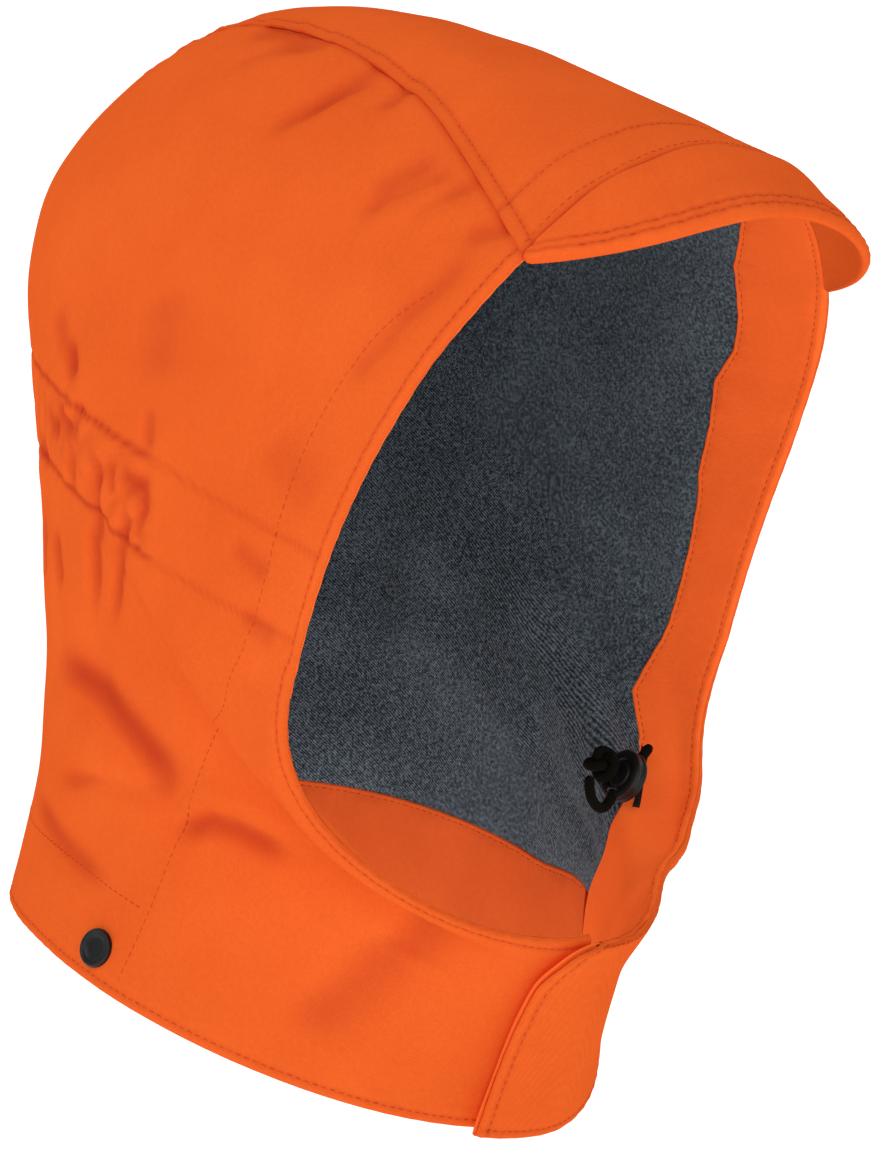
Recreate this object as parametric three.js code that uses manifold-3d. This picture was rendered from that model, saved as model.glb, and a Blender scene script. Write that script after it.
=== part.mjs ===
// Detachable work hood: a three-panel shell with a peak, facings, a dark lining, press snaps and a drawcord end.
// Millimetres, +Z up, the face towards -Y, the wearer's right towards -X.
// The origin is the inside of the crown, where the hood rests on the head.
import * as THREE from "three";
import Module from "manifold-3d";

const wasm = await Module();
wasm.setup();

const DEGREE = Math.PI / 180;

// Overall sizes
const CROWN_TO_HEM = 362;
const FACE_TO_BACK = 286;
const SIDE_TO_SIDE = 212;
const CHIN_HEIGHT = 67;
const CHIN_SLANT = 20;
const CHIN_HEM_FORWARD = 100;

// Cloth plies: the shell outside, the lining and facings inside
const SHELL = 1.0;
const PLY_GAP = 1.9;
const INNER = 1.0;
const WALL = SHELL + PLY_GAP + INNER;
const CLEARANCE = 0.3;

// Bands and seams
const FACING_WIDTH = 30;
const NECK_FACING_HEIGHT = 29;
const FACING_FOOT_RIGHT = 84;
const FACING_FOOT_LEFT = 61;
const FOOT_STEP = 0.5 * DEGREE;
const MIDDLE_STEP = 0.1 * DEGREE;
const LAP_WIDTH = 26.5;
const TAPE_THICKNESS = 1.2;
const TAPE_WIDTH = 12;
const TAPE_FROM_FRONT = 3;
const TAPE_FOOT = 0.03;
const TAPE_SPAN = 0.3;
const LAP_LIFT = WALL + TAPE_THICKNESS + 4 * CLEARANCE;
const LAP_RUN = 42;

// Peak
const PEAK_DEPTH = 27;
const PEAK_ROOT_ANGLE = 24;
const PEAK_TIP_ANGLE = 50;
const PEAK_FULLNESS = 3.6;
const PEAK_END_DEPTH = 1.2;

// Press snaps
const SNAP_CAP_RADIUS = 6.2;
const SNAP_CAP_HEIGHT = 2.2;
const SNAP_POST_RADIUS = 2.2;
const SNAP_SOCKET_RADIUS = 5.6;
const SNAP_SOCKET_HEIGHT = 3.2;
const SNAP_ABOVE_HEM = 11;
const SNAP_TURN = 92;

// Drawcord end, at the wearer's left
const CORD_DIAMETER = 3.5;
const LOCK_RADIUS = 9;
const LOCK_THICKNESS = 7;
const LOCK_PLACE = 0.458;
const LOCK_TURN = 53.5;
const TAB_THICKNESS = 0.8;
const TAB_START = { at: 0.63, turn: 60 };
const TAB_END = { at: 0.44, turn: 46 };
const TAB_SPREAD = { at: 0.09, turn: 2.6 };

// Sections of the cloth from the hem (at 0) to the face edge (at 1), fanned about the chin.
// rise: share of the chin height. backY, backZ: where the section ends at the back, as shares of face to
// back and crown to hem. half: share of half the width. fullest: where along the section it is widest.
// frontRound, backRound: squareness of its two ends. bow, lean: how far it bows, as shares of face to back.
const SECTION_COLUMNS = [
  "at", "rise", "backY", "backZ", "half", "fullest", "frontRound", "backRound", "bow", "lean",
];
const SECTIONS = [
  [0.0, 0.0, 0.381, -0.828, 0.966, 0.47, 1.79, 2.12, -0.054, 0.001],
  [0.1, 0.34, 0.366, -0.718, 0.865, 0.47, 1.73, 2.15, -0.07, -0.012],
  [0.26, 0.6, 0.369, -0.497, 0.823, 0.46, 1.76, 2.19, -0.059, -0.014],
  [0.42, 0.77, 0.391, -0.264, 0.835, 0.44, 1.85, 2.23, -0.029, 0.002],
  [0.58, 0.88, 0.307, -0.085, 0.941, 0.41, 1.96, 2.27, 0.027, 0.017],
  [0.72, 0.94, 0.002, 0.0, 0.989, 0.37, 2.05, 2.27, 0.078, 0.036],
  [0.86, 0.975, -0.326, -0.073, 1.0, 0.35, 2.12, 2.28, 0.121, 0.051],
  [1.0, 1.0, -0.61, -0.178, 0.995, 0.33, 2.21, 2.29, 0.153, 0.062],
];

// Half the width of the centre panel from hem to face edge, as a share of half the width.
const CENTRE_PANEL = [
  [0.0, 0.32],
  [0.35, 0.32],
  [0.68, 0.335],
  [0.78, 0.42],
  [0.86, 0.485],
  [0.93, 0.6],
  [1.0, 0.7],
];

// Broad folds of the side panels in side view: their two ends and half-width as shares of face to back (Y,
// width) and crown to hem (Z), and how far they stand out, as a share of the width of the cloth wall.
const FOLD_COLUMNS = ["fromY", "fromZ", "toY", "toZ", "width", "height"];
const FOLDS = [
  [0.19, -0.61, 0.07, -0.63, 0.05, -0.6],
  [0.07, -0.63, -0.09, -0.705, 0.05, -0.65],
  [0.14, -0.65, 0.02, -0.695, 0.055, 0.5],
  [0.19, -0.43, 0.18, -0.54, 0.045, -0.4],
  [0.01, -0.46, 0.08, -0.58, 0.045, -0.4],
  [-0.29, -0.105, -0.19, -0.145, 0.04, -0.35],
  [-0.4, -0.175, -0.35, -0.225, 0.04, -0.3],
  [-0.11, -0.735, -0.24, -0.75, 0.04, -0.35],
];
const LEFT_FOLD_SHIFT = [0.03, 0.035];

// The hem hangs lower on the left, fading out towards centre front and past centre back.
// Turns are in degrees to the left of centre front; HANG_RUN is how far up the sections the drop reaches.
const HANG_DROP = 30;
const HANG_RUN = 0.3;
const HANG_TURN = { front: 45, full: 92, back: 210 };

// Rows of the grid that the side and centre panels share, from hem to face edge.
const PANEL_ROWS = 22;

// The lining's own grid, between the facings and the neck facing.
const LINING_ROWS = 18;
const LINING_COLUMNS = 27;

// Turns each column of a table into a smooth natural spline over its first column.
function splines(columns, rows) {
  const xs = rows.map((row) => row[0]);
  const made = {};
  columns.forEach((name, column) => {
    made[name] = naturalSpline(xs, rows.map((row) => row[column]));
  });
  return made;
}

function naturalSpline(xs, ys) {
  const last = xs.length - 1;
  const bend = new Array(last + 1).fill(0);
  const load = new Array(last + 1).fill(0);
  for (let i = 1; i < last; i++) {
    const before = xs[i] - xs[i - 1];
    const after = xs[i + 1] - xs[i];
    const share = before / (before + after);
    const pivot = share * bend[i - 1] + 2;
    const turn = (ys[i + 1] - ys[i]) / after - (ys[i] - ys[i - 1]) / before;
    bend[i] = (share - 1) / pivot;
    load[i] = ((6 * turn) / (before + after) - share * load[i - 1]) / pivot;
  }
  for (let i = last - 1; i >= 0; i--) bend[i] = bend[i] * bend[i + 1] + load[i];
  return (x) => {
    let i = 0;
    while (i < last - 1 && x > xs[i + 1]) i++;
    const span = xs[i + 1] - xs[i];
    const a = (xs[i + 1] - x) / span;
    const b = 1 - a;
    const curve = (a ** 3 - a) * bend[i] + (b ** 3 - b) * bend[i + 1];
    return a * ys[i] + b * ys[i + 1] + (curve * span * span) / 6;
  };
}

const section = splines(SECTION_COLUMNS, SECTIONS);
const centreHalf = naturalSpline(CENTRE_PANEL.map((row) => row[0]), CENTRE_PANEL.map((row) => row[1]));

// How far the hem hangs lower at a turn.
function hangAt(turn) {
  const left = THREE.MathUtils.euclideanModulo(-turn / DEGREE, 360);
  const { front, full, back } = HANG_TURN;
  const { smoothstep } = THREE.MathUtils;
  return HANG_DROP * smoothstep(left, front, full) * (1 - smoothstep(left, full, back));
}

// A point of the hood's outer face. at runs from hem to face edge, and turn is the angle round the section
// from centre front (0) over the wearer's right to centre back (180 degrees); the left side is negative.
function outerFace(at, turn) {
  const s = {};
  for (const name of SECTION_COLUMNS) s[name] = section[name](at);
  const slant = CHIN_SLANT * DEGREE;
  const chin = s.rise * CHIN_HEIGHT;
  const frontY = -CHIN_HEM_FORWARD - chin * Math.sin(slant);
  const frontZ = WALL - CROWN_TO_HEM + chin * Math.cos(slant);
  const spanY = s.backY * FACE_TO_BACK - frontY;
  const spanZ = WALL + s.backZ * CROWN_TO_HEM - frontZ;
  const length = Math.hypot(spanY, spanZ);
  const sine = Math.sin(turn);
  const cosine = Math.cos(turn);
  const power = 2 / (cosine > 0 ? s.frontRound : s.backRound);
  const reach = Math.abs(cosine) ** power;
  const along = cosine > 0 ? s.fullest * (1 - reach) : s.fullest + (1 - s.fullest) * reach;
  const bow = (s.bow + s.lean * cosine) * sine * sine * FACE_TO_BACK;
  const half = (s.half * SIDE_TO_SIDE) / 2;
  const drop = hangAt(turn) * Math.max(0, 1 - at / HANG_RUN) ** 2;
  return new THREE.Vector3(
    -half * Math.sign(sine) * Math.abs(sine) ** power,
    frontY + spanY * along + (spanZ / length) * bow,
    frontZ + spanZ * along - (spanY / length) * bow - drop,
  );
}

function outwardAt(at, turn) {
  const step = 1e-3;
  const up = outerFace(Math.min(at + step, 1), turn).sub(outerFace(Math.max(at - step, 0), turn));
  const round = outerFace(at, turn + step).sub(outerFace(at, turn - step));
  return up.cross(round).normalize();
}

// How far the folds lift the cloth at a point of the outer face, in millimetres.
function foldHeight(point, left) {
  const shift = left ? LEFT_FOLD_SHIFT : [0, 0];
  let height = 0;
  for (const row of FOLDS) {
    const fold = Object.fromEntries(FOLD_COLUMNS.map((name, column) => [name, row[column]]));
    const startY = (fold.fromY + shift[0]) * FACE_TO_BACK;
    const startZ = WALL + (fold.fromZ + shift[1]) * CROWN_TO_HEM;
    const runY = (fold.toY - fold.fromY) * FACE_TO_BACK;
    const runZ = (fold.toZ - fold.fromZ) * CROWN_TO_HEM;
    const along = (point.y - startY) * runY + (point.z - startZ) * runZ;
    const share = THREE.MathUtils.clamp(along / (runY ** 2 + runZ ** 2), 0, 1);
    const away = Math.hypot(point.y - startY - share * runY, point.z - startZ - share * runZ);
    height += fold.height * WALL * Math.exp(-((away / (fold.width * FACE_TO_BACK)) ** 2));
  }
  return height;
}

// A point a given depth inside the outer face. The left front is lifted to lap over the right.
function clothPoint(at, turn, depth, leftLap = false) {
  const point = outerFace(at, turn);
  const outward = outwardAt(at, turn);
  const raised = leftLap ? LAP_LIFT * THREE.MathUtils.smoothstep(turn / DEGREE, -LAP_RUN, 0) : 0;
  const left = Math.sin(turn) < 0;
  return point.addScaledVector(outward, foldHeight(point, left) + raised - depth);
}

// The place along a line of constant turn that lies a given length from the hem or from the face edge.
function placeFrom(edge, turn, length) {
  const steps = 80;
  let walked = 0;
  let last = outerFace(edge, turn);
  for (let i = 1; i <= steps; i++) {
    const at = Math.abs(edge - i / steps);
    const next = outerFace(at, turn);
    const pace = next.distanceTo(last);
    if (walked + pace >= length) return Math.abs(edge - (i - 1 + (length - walked) / pace) / steps);
    walked += pace;
    last = next;
  }
  return 1 - edge;
}

// The turn at which a section is a given distance from the middle plane, in front or at the back.
function turnAtWidth(at, distance, front) {
  const half = (section.half(at) * SIDE_TO_SIDE) / 2;
  const power = (front ? section.frontRound(at) : section.backRound(at)) / 2;
  const angle = Math.asin((distance / half) ** power);
  return front ? angle : Math.PI - angle;
}

// A closed solid between two faces of a patch, from pointAt(row, column, depth) with shares 0 to 1.
function plySolid(pointAt, rows, columns, outerDepth, innerDepth) {
  const positions = [];
  const faces = [];
  const index = (i, j, inner) => (i * (columns + 1) + j) * 2 + inner;
  for (let i = 0; i <= rows; i++) {
    for (let j = 0; j <= columns; j++) {
      positions.push(...pointAt(i / rows, j / columns, outerDepth).toArray());
      positions.push(...pointAt(i / rows, j / columns, innerDepth).toArray());
    }
  }
  const quad = (a, b, c, d) => faces.push(a, b, c, a, c, d);
  for (let i = 0; i < rows; i++) {
    for (let j = 0; j < columns; j++) {
      quad(index(i, j, 0), index(i + 1, j, 0), index(i + 1, j + 1, 0), index(i, j + 1, 0));
      quad(index(i, j, 1), index(i, j + 1, 1), index(i + 1, j + 1, 1), index(i + 1, j, 1));
    }
  }
  for (let i = 0; i < rows; i++) {
    quad(index(i, 0, 0), index(i, 0, 1), index(i + 1, 0, 1), index(i + 1, 0, 0));
    quad(index(i, columns, 0), index(i + 1, columns, 0), index(i + 1, columns, 1), index(i, columns, 1));
  }
  for (let j = 0; j < columns; j++) {
    quad(index(0, j, 0), index(0, j + 1, 0), index(0, j + 1, 1), index(0, j, 1));
    quad(index(rows, j, 0), index(rows, j, 1), index(rows, j + 1, 1), index(rows, j + 1, 0));
  }
  const geometry = new THREE.BufferGeometry();
  geometry.setAttribute("position", new THREE.Float32BufferAttribute(positions, 3));
  geometry.setIndex(signedVolume(positions, faces) < 0 ? faces.reverse() : faces);
  return geometry;
}

function signedVolume(positions, faces) {
  const corner = (k) => new THREE.Vector3().fromArray(positions, 3 * k);
  let volume = 0;
  for (let i = 0; i < faces.length; i += 3) {
    const normal = corner(faces[i + 1]).cross(corner(faces[i + 2]));
    volume += corner(faces[i]).dot(normal) / 6;
  }
  return volume;
}

// Cuts round holes through a geometry, each given by a place, an axis, a radius and a length.
function drilled(geometry, holes) {
  const merged = new wasm.Mesh({
    numProp: 3,
    vertProperties: new Float32Array(geometry.getAttribute("position").array),
    triVerts: new Uint32Array(geometry.index.array),
  });
  merged.merge();
  let solid = new wasm.Manifold(merged);
  for (const hole of holes) {
    const turn = new THREE.Quaternion().setFromUnitVectors(new THREE.Vector3(0, 0, 1), hole.axis);
    const place = new THREE.Matrix4().compose(hole.at, turn, new THREE.Vector3(1, 1, 1));
    const drill = wasm.Manifold.cylinder(hole.length, hole.radius, hole.radius, 16, true);
    solid = solid.subtract(drill.transform(place.toArray()));
  }
  const cut = solid.getMesh();
  const made = new THREE.BufferGeometry();
  made.setAttribute("position", new THREE.Float32BufferAttribute(cut.vertProperties, 3));
  made.setIndex(Array.from(cut.triVerts));
  return made;
}

const hood = new THREE.Group();

function addPiece(name, geometry, finish) {
  const piece = new THREE.Mesh(geometry, new THREE.MeshStandardMaterial(finish));
  piece.name = name;
  hood.add(piece);
  return piece;
}

const SHELL_CLOTH = { color: 0xeb6029, roughness: 0.8, metalness: 0 };
const FACING_CLOTH = { color: 0xe35b2d, roughness: 0.85, metalness: 0 };
const LINING_CLOTH = { color: 0x3a4046, roughness: 0.95, metalness: 0 };
const BLACK_PLASTIC = { color: 0x191919, roughness: 0.45, metalness: 0 };
const BLACK_CORD = { color: 0x16150f, roughness: 0.9, metalness: 0 };

const SIDES = [
  { name: "right", sign: 1, foot: FACING_FOOT_RIGHT * DEGREE },
  { name: "left", sign: -1, foot: FACING_FOOT_LEFT * DEGREE },
];

// Where a snap passes through the neck band, and the axis of its post, pointing outwards.
function snapPlace(side) {
  const turn = side.sign * SNAP_TURN * DEGREE;
  const at = placeFrom(0, turn, SNAP_ABOVE_HEM);
  return { at: clothPoint(at, turn, 0), axis: outwardAt(at, turn) };
}

function snapHoles() {
  return SIDES.map((side) => ({
    ...snapPlace(side),
    radius: SNAP_POST_RADIUS + CLEARANCE,
    length: 8 * WALL,
  }));
}

// Width of the chin lap past centre front: full at the hem, narrower upwards, rounded off at the top.
function lapWidth(at) {
  const rise = section.rise(at);
  return LAP_WIDTH * (1 - rise / 3) * Math.sqrt(Math.max(0, 1 - rise ** 12));
}

// Centre front edge of one side's plies. The left ones reach past centre front by the lap.
function frontTurn(side, at) {
  return side.sign > 0 ? 0 : -turnAtWidth(at, lapWidth(at), true);
}

// Side panel: from the centre front edge round to the seam with the centre panel.
function sidePanel(side) {
  const place = (row, column, depth) => {
    const start = frontTurn(side, row);
    const end = turnAtWidth(row, centreHalf(row) * (SIDE_TO_SIDE / 2) + CLEARANCE / 2, false);
    return clothPoint(row, side.sign * (start + (end - start) * column), depth, side.sign < 0);
  };
  return drilled(plySolid(place, PANEL_ROWS, 17, 0, SHELL), snapHoles());
}

function centrePanel() {
  const place = (row, column, depth) => {
    const seam = turnAtWidth(row, centreHalf(row) * (SIDE_TO_SIDE / 2) - CLEARANCE / 2, false);
    return clothPoint(row, seam + 2 * (Math.PI - seam) * column, depth);
  };
  return plySolid(place, PANEL_ROWS, 8, 0, SHELL);
}

// Facing: its inner edge runs straight up from the hem at its foot, then parallel to the face edge.
function facing(side) {
  const columns = [];
  const above = side.foot + FOOT_STEP;
  const middle = Math.PI - MIDDLE_STEP;
  const inner = (turn) => placeFrom(1, side.sign * turn, FACING_WIDTH);
  const lowColumns = Math.round(side.foot / (10 * DEGREE));
  for (let i = 0; i < lowColumns; i++) columns.push([(side.foot * i) / lowColumns, 0]);
  for (let i = 0; i < 9; i++) columns.push([side.foot + (FOOT_STEP * i) / 9, (inner(above) * i) / 9]);
  for (let i = 0; i <= 12; i++) {
    const turn = above + ((middle - above) * i) / 12;
    columns.push([turn, inner(turn)]);
  }
  const place = (row, column, depth) => {
    const [nominal, low] = columns[Math.round(column * (columns.length - 1))];
    const at = low + (1 - low) * row;
    const front = frontTurn(side, at);
    const turn = side.sign * (nominal + front * Math.max(0, 1 - nominal / side.foot));
    return clothPoint(at, turn, depth, side.sign < 0);
  };
  return plySolid(place, 12, columns.length - 1, SHELL + PLY_GAP, WALL);
}

// The sweep of the inner plies behind the facings, from the right foot over the back to the left foot.
function behindFacings(column) {
  const edge = FOOT_STEP + 0.4 * DEGREE;
  const start = FACING_FOOT_RIGHT * DEGREE + edge;
  const end = 2 * Math.PI - FACING_FOOT_LEFT * DEGREE - edge;
  return start + (end - start) * column;
}

function neckFacing() {
  const place = (row, column, depth) => {
    const turn = behindFacings(column);
    return clothPoint(placeFrom(0, turn, NECK_FACING_HEIGHT + hangAt(turn)) * row, turn, depth);
  };
  return drilled(plySolid(place, 3, 28, SHELL + PLY_GAP, WALL), snapHoles());
}

function lining() {
  const place = (row, column, depth) => {
    const turn = behindFacings(column);
    const low = placeFrom(0, turn, NECK_FACING_HEIGHT + hangAt(turn) + CLEARANCE);
    const high = placeFrom(1, turn, FACING_WIDTH + CLEARANCE);
    return clothPoint(low + (high - low) * row, turn, depth);
  };
  return plySolid(place, LINING_ROWS, LINING_COLUMNS, SHELL + PLY_GAP, WALL);
}

// Peak: sewn to the face edge of the centre panel, bending down from root to tip.
function peak() {
  const seam = turnAtWidth(1, centreHalf(1) * (SIDE_TO_SIDE / 2), false);
  const place = (row, column, depth) => {
    const turn = seam + 2 * (Math.PI - seam) * column;
    const across = Math.abs(2 * column - 1);
    const reach = CLEARANCE + row * (PEAK_END_DEPTH + PEAK_DEPTH * (1 - across ** PEAK_FULLNESS));
    const angle = THREE.MathUtils.lerp(PEAK_ROOT_ANGLE, (PEAK_ROOT_ANGLE + PEAK_TIP_ANGLE) / 2, row);
    const root = clothPoint(1, turn, depth);
    return root.add(new THREE.Vector3(0, -Math.cos(angle * DEGREE), -Math.sin(angle * DEGREE)).multiplyScalar(reach));
  };
  return plySolid(place, 4, 16, 0, WALL);
}

// Hook-and-loop strip on the right panel, under the chin lap.
function flapTape() {
  const place = (row, column, depth) => {
    const at = TAPE_FOOT + TAPE_SPAN * row;
    const turn = turnAtWidth(at, TAPE_FROM_FRONT + TAPE_WIDTH * column, true);
    return clothPoint(at, turn, depth);
  };
  return plySolid(place, 4, 2, -CLEARANCE - TAPE_THICKNESS, -CLEARANCE);
}

// Snap: dished cap outside, post through the cloth, socket inside, turned in one piece.
function snap(side) {
  const under = CLEARANCE;
  const top = under + SNAP_CAP_HEIGHT;
  const inside = -WALL - 2 * CLEARANCE;
  const profile = [
    [0, inside - SNAP_SOCKET_HEIGHT],
    [SNAP_SOCKET_RADIUS, inside - SNAP_SOCKET_HEIGHT],
    [SNAP_SOCKET_RADIUS, inside],
    [SNAP_POST_RADIUS, inside],
    [SNAP_POST_RADIUS, under],
    [SNAP_CAP_RADIUS, under],
    [SNAP_CAP_RADIUS, under + SNAP_CAP_HEIGHT / 2],
    [SNAP_CAP_RADIUS * 0.86, top],
    [SNAP_CAP_RADIUS * 0.68, top - SNAP_CAP_HEIGHT * 0.12],
    [0, top - SNAP_CAP_HEIGHT * 0.3],
  ];
  const geometry = new THREE.LatheGeometry(profile.map(([r, h]) => new THREE.Vector2(r, h)), 16);
  const piece = addPiece("snap_" + side.name, geometry, BLACK_PLASTIC);
  const { at, axis } = snapPlace(side);
  piece.position.copy(at);
  piece.quaternion.setFromUnitVectors(new THREE.Vector3(0, 1, 0), axis);
}

// Route of the drawcord end: out of the left facing, through the lock, round a loop to the knot.
const CORD_ROUTE = [
  [80.1, -81.5, -246.0],
  [77.0, -81.6, -248.3],
  [73.5, -81.7, -250.8],
  [66.7, -81.7, -256.0],
  [59.9, -81.7, -261.1],
  [55.4, -81.8, -264.1],
  [51.0, -81.9, -262.6],
  [48.6, -81.6, -258.4],
  [48.9, -81.0, -254.4],
];
const CORD_THROUGH_LOCK = new THREE.Vector3(-0.797, 0, -0.604);
const KNOT_FROM_LOCK = new THREE.Vector3(-8.2, 2.7, 5.7);
const KNOT_RADIUS = 4.2;

// Where the cord lock lies on the cloth over the webbing tab, and its axis, pointing outwards.
function lockPlace() {
  const turn = -LOCK_TURN * DEGREE;
  const depth = WALL + 5 * CLEARANCE + TAB_THICKNESS + LOCK_THICKNESS / 2;
  return { at: clothPoint(LOCK_PLACE, turn, depth), axis: outwardAt(LOCK_PLACE, turn) };
}

function cord() {
  const points = CORD_ROUTE.map((xyz) => new THREE.Vector3(...xyz));
  const round = new THREE.Shape().absarc(0, 0, CORD_DIAMETER / 2, 0, 2 * Math.PI);
  const geometry = new THREE.ExtrudeGeometry(round, {
    steps: 14,
    curveSegments: 4,
    extrudePath: new THREE.CatmullRomCurve3(points, false, "centripetal"),
  });
  addPiece("cord_left", geometry, BLACK_CORD);
}

function cordKnot() {
  const piece = addPiece(
    "cord_knot_left",
    new THREE.TorusKnotGeometry(KNOT_RADIUS, CORD_DIAMETER / 2 - 0.15, 28, 6, 2, 3),
    BLACK_CORD,
  );
  const { at, axis } = lockPlace();
  piece.position.copy(at.add(KNOT_FROM_LOCK));
  piece.quaternion.setFromUnitVectors(new THREE.Vector3(0, 0, 1), axis);
}

// Cord lock: a round-edged drum that lies flat on the cloth, with the cord's hole across it.
function cordLock() {
  const edge = 1.2;
  const half = LOCK_THICKNESS / 2;
  const profile = [
    [0, -half],
    [LOCK_RADIUS - edge, -half],
    [LOCK_RADIUS, -half + edge],
    [LOCK_RADIUS, half - edge],
    [LOCK_RADIUS - edge, half],
    [0, half],
  ];
  const drum = new THREE.LatheGeometry(profile.map(([r, h]) => new THREE.Vector2(r, h)), 20);
  const { at, axis } = lockPlace();
  drum.applyQuaternion(new THREE.Quaternion().setFromUnitVectors(new THREE.Vector3(0, 1, 0), axis));
  drum.translate(at.x, at.y, at.z);
  const along = CORD_THROUGH_LOCK.clone().normalize();
  const hole = { at, axis: along, radius: CORD_DIAMETER / 2 + 2 * CLEARANCE, length: 4 * LOCK_RADIUS };
  addPiece("cord_lock_left", drilled(drum, [hole]), BLACK_PLASTIC);
}

// Webbing tab that runs from the facing seam under the lock to its free tail.
function cordTab() {
  const place = (row, column, depth) => {
    const at = TAB_START.at + (TAB_END.at - TAB_START.at) * row + TAB_SPREAD.at * (column - 0.5);
    const turn = TAB_START.turn + (TAB_END.turn - TAB_START.turn) * row - TAB_SPREAD.turn * (column - 0.5);
    return clothPoint(at, -turn * DEGREE, depth, true);
  };
  const face = WALL + 3 * CLEARANCE;
  addPiece("cord_tab_left", plySolid(place, 8, 2, face, face + TAB_THICKNESS), BLACK_CORD);
}

addPiece("centre_panel", centrePanel(), SHELL_CLOTH);
addPiece("peak", peak(), SHELL_CLOTH);
addPiece("neck_facing", neckFacing(), FACING_CLOTH);
addPiece("lining", lining(), LINING_CLOTH);
addPiece("flap_tape", flapTape(), BLACK_CORD);
for (const side of SIDES) {
  addPiece("side_panel_" + side.name, sidePanel(side), SHELL_CLOTH);
  addPiece("face_facing_" + side.name, facing(side), FACING_CLOTH);
  snap(side);
}
cord();
cordKnot();
cordLock();
cordTab();

export default hood;
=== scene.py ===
import math

import bpy
import numpy as np
from mathutils import Matrix, Vector


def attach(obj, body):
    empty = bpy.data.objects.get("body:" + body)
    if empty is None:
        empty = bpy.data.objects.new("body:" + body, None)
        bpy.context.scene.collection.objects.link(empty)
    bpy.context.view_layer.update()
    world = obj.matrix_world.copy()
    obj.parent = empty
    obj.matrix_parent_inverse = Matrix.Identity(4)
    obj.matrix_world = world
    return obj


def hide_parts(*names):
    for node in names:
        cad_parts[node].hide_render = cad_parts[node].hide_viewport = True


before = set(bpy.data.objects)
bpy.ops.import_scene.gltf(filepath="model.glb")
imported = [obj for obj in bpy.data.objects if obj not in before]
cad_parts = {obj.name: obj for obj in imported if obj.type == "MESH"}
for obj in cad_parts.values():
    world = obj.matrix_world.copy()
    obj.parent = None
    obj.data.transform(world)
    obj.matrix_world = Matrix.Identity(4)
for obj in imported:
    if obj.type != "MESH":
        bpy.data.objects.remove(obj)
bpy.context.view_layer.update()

# Camera: stands to the wearer's front right, level with the cheek, a little under a metre away.
# A long lens with a slight rise and shift frames the hood as the photograph does.
PHOTO_WIDE, PHOTO_HIGH = 882, 1151
LENS_PIXELS, LENS_MIDDLE, SENSOR_HIGH = 2332.1, (350.8, 584.5), 36
CAMERA_TARGET, CAMERA_DISTANCE = Vector((0, -0.016, -0.1898)), 0.79015
bearing, lift, roll = math.radians(-45.33), math.radians(2.31), math.radians(0.51)
away = Vector((math.sin(bearing) * math.cos(lift), -math.cos(bearing) * math.cos(lift), math.sin(lift)))
level = Vector((math.cos(bearing), math.sin(bearing), 0))
upright = away.cross(level)
right = level * math.cos(roll) + upright * math.sin(roll)
upward = upright * math.cos(roll) - level * math.sin(roll)
camera_data = bpy.data.cameras.new("camera")
camera_data.sensor_fit = "VERTICAL"
camera_data.sensor_height = SENSOR_HIGH
camera_data.lens = SENSOR_HIGH * LENS_PIXELS / PHOTO_HIGH
camera_data.shift_x = (PHOTO_WIDE / 2 - LENS_MIDDLE[0]) / PHOTO_HIGH
camera_data.shift_y = (LENS_MIDDLE[1] - PHOTO_HIGH / 2) / PHOTO_HIGH
camera = bpy.data.objects.new("camera", camera_data)
camera.matrix_world = Matrix((right, upward, away)).transposed().to_4x4()
camera.location = CAMERA_TARGET + CAMERA_DISTANCE * away
bpy.context.scene.collection.objects.link(camera)
bpy.context.scene.camera = camera


# Drawcord end: a limp braided black cord, 3.5 mm thick, comes out of the left facing at the chin.
# It runs through the cord lock, turns back in one small bight and ends in a knot.
CORD_THICK = 3.5
CORD_ROUTE = np.array([
    [80.1, -81.5, -246.0], [77.0, -81.6, -248.3], [73.5, -81.7, -250.8], [66.7, -81.7, -256.0],
    [59.9, -81.7, -261.1], [55.4, -81.8, -264.1], [51.0, -81.9, -262.6], [48.6, -81.6, -258.4],
    [48.9, -81.0, -254.4],
])
LOCK_CENTRE = np.array([66.53, -81.85, -255.49])
LOCK_AXIS = np.array([0.5419, 0.4161, -0.7302])
KNOT_FROM_LOCK = np.array([-8.2, 2.7, 5.7])
KNOT_REACH, KNOT_DEPTH, KNOT_CORD_THICK = 3.3, 2.3, 3.6


def natural_spline(places, heights):
    """Smooth curve through a table: cubics that meet with equal slope and bend, and no bend at both ends."""
    places, heights = np.asarray(places, float), np.asarray(heights, float)
    gap = np.diff(places)
    slope = np.diff(heights, axis=0).T / gap
    count = len(places)
    system, load = np.eye(count), np.zeros(heights.shape)
    inner = np.arange(1, count - 1)
    system[inner, inner - 1] = gap[:-1]
    system[inner, inner] = 2 * (gap[:-1] + gap[1:])
    system[inner, inner + 1] = gap[1:]
    load[inner] = 6 * (slope[..., 1:] - slope[..., :-1]).T
    bend = np.linalg.solve(system, load)

    def curve(at):
        """The height of the curve at a place."""
        at = np.asarray(at, float)
        k = np.clip(np.searchsorted(places, at) - 1, 0, count - 2)
        after = (at - places[k]) / gap[k]
        before = 1 - after
        ease = [(share**3 - share) * gap[k] ** 2 / 6 for share in (before, after)]
        if heights.ndim > 1:
            before, after = before[..., None], after[..., None]
            ease = [part[..., None] for part in ease]
        return before * heights[k] + after * heights[k + 1] + ease[0] * bend[k] + ease[1] * bend[k + 1]

    return curve


def walked_along(points, axis=0, backwards=False):
    """Millimetres walked along a line, or over a net by its rows (0) or columns (1): the sum of its steps."""
    if backwards:
        return np.flip(walked_along(np.flip(points, axis), axis), axis)
    steps = np.linalg.norm(np.diff(points, axis=axis), axis=-1)
    return np.concatenate([np.zeros_like(np.take(steps, [0], axis)), np.cumsum(steps, axis)], axis)


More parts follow.
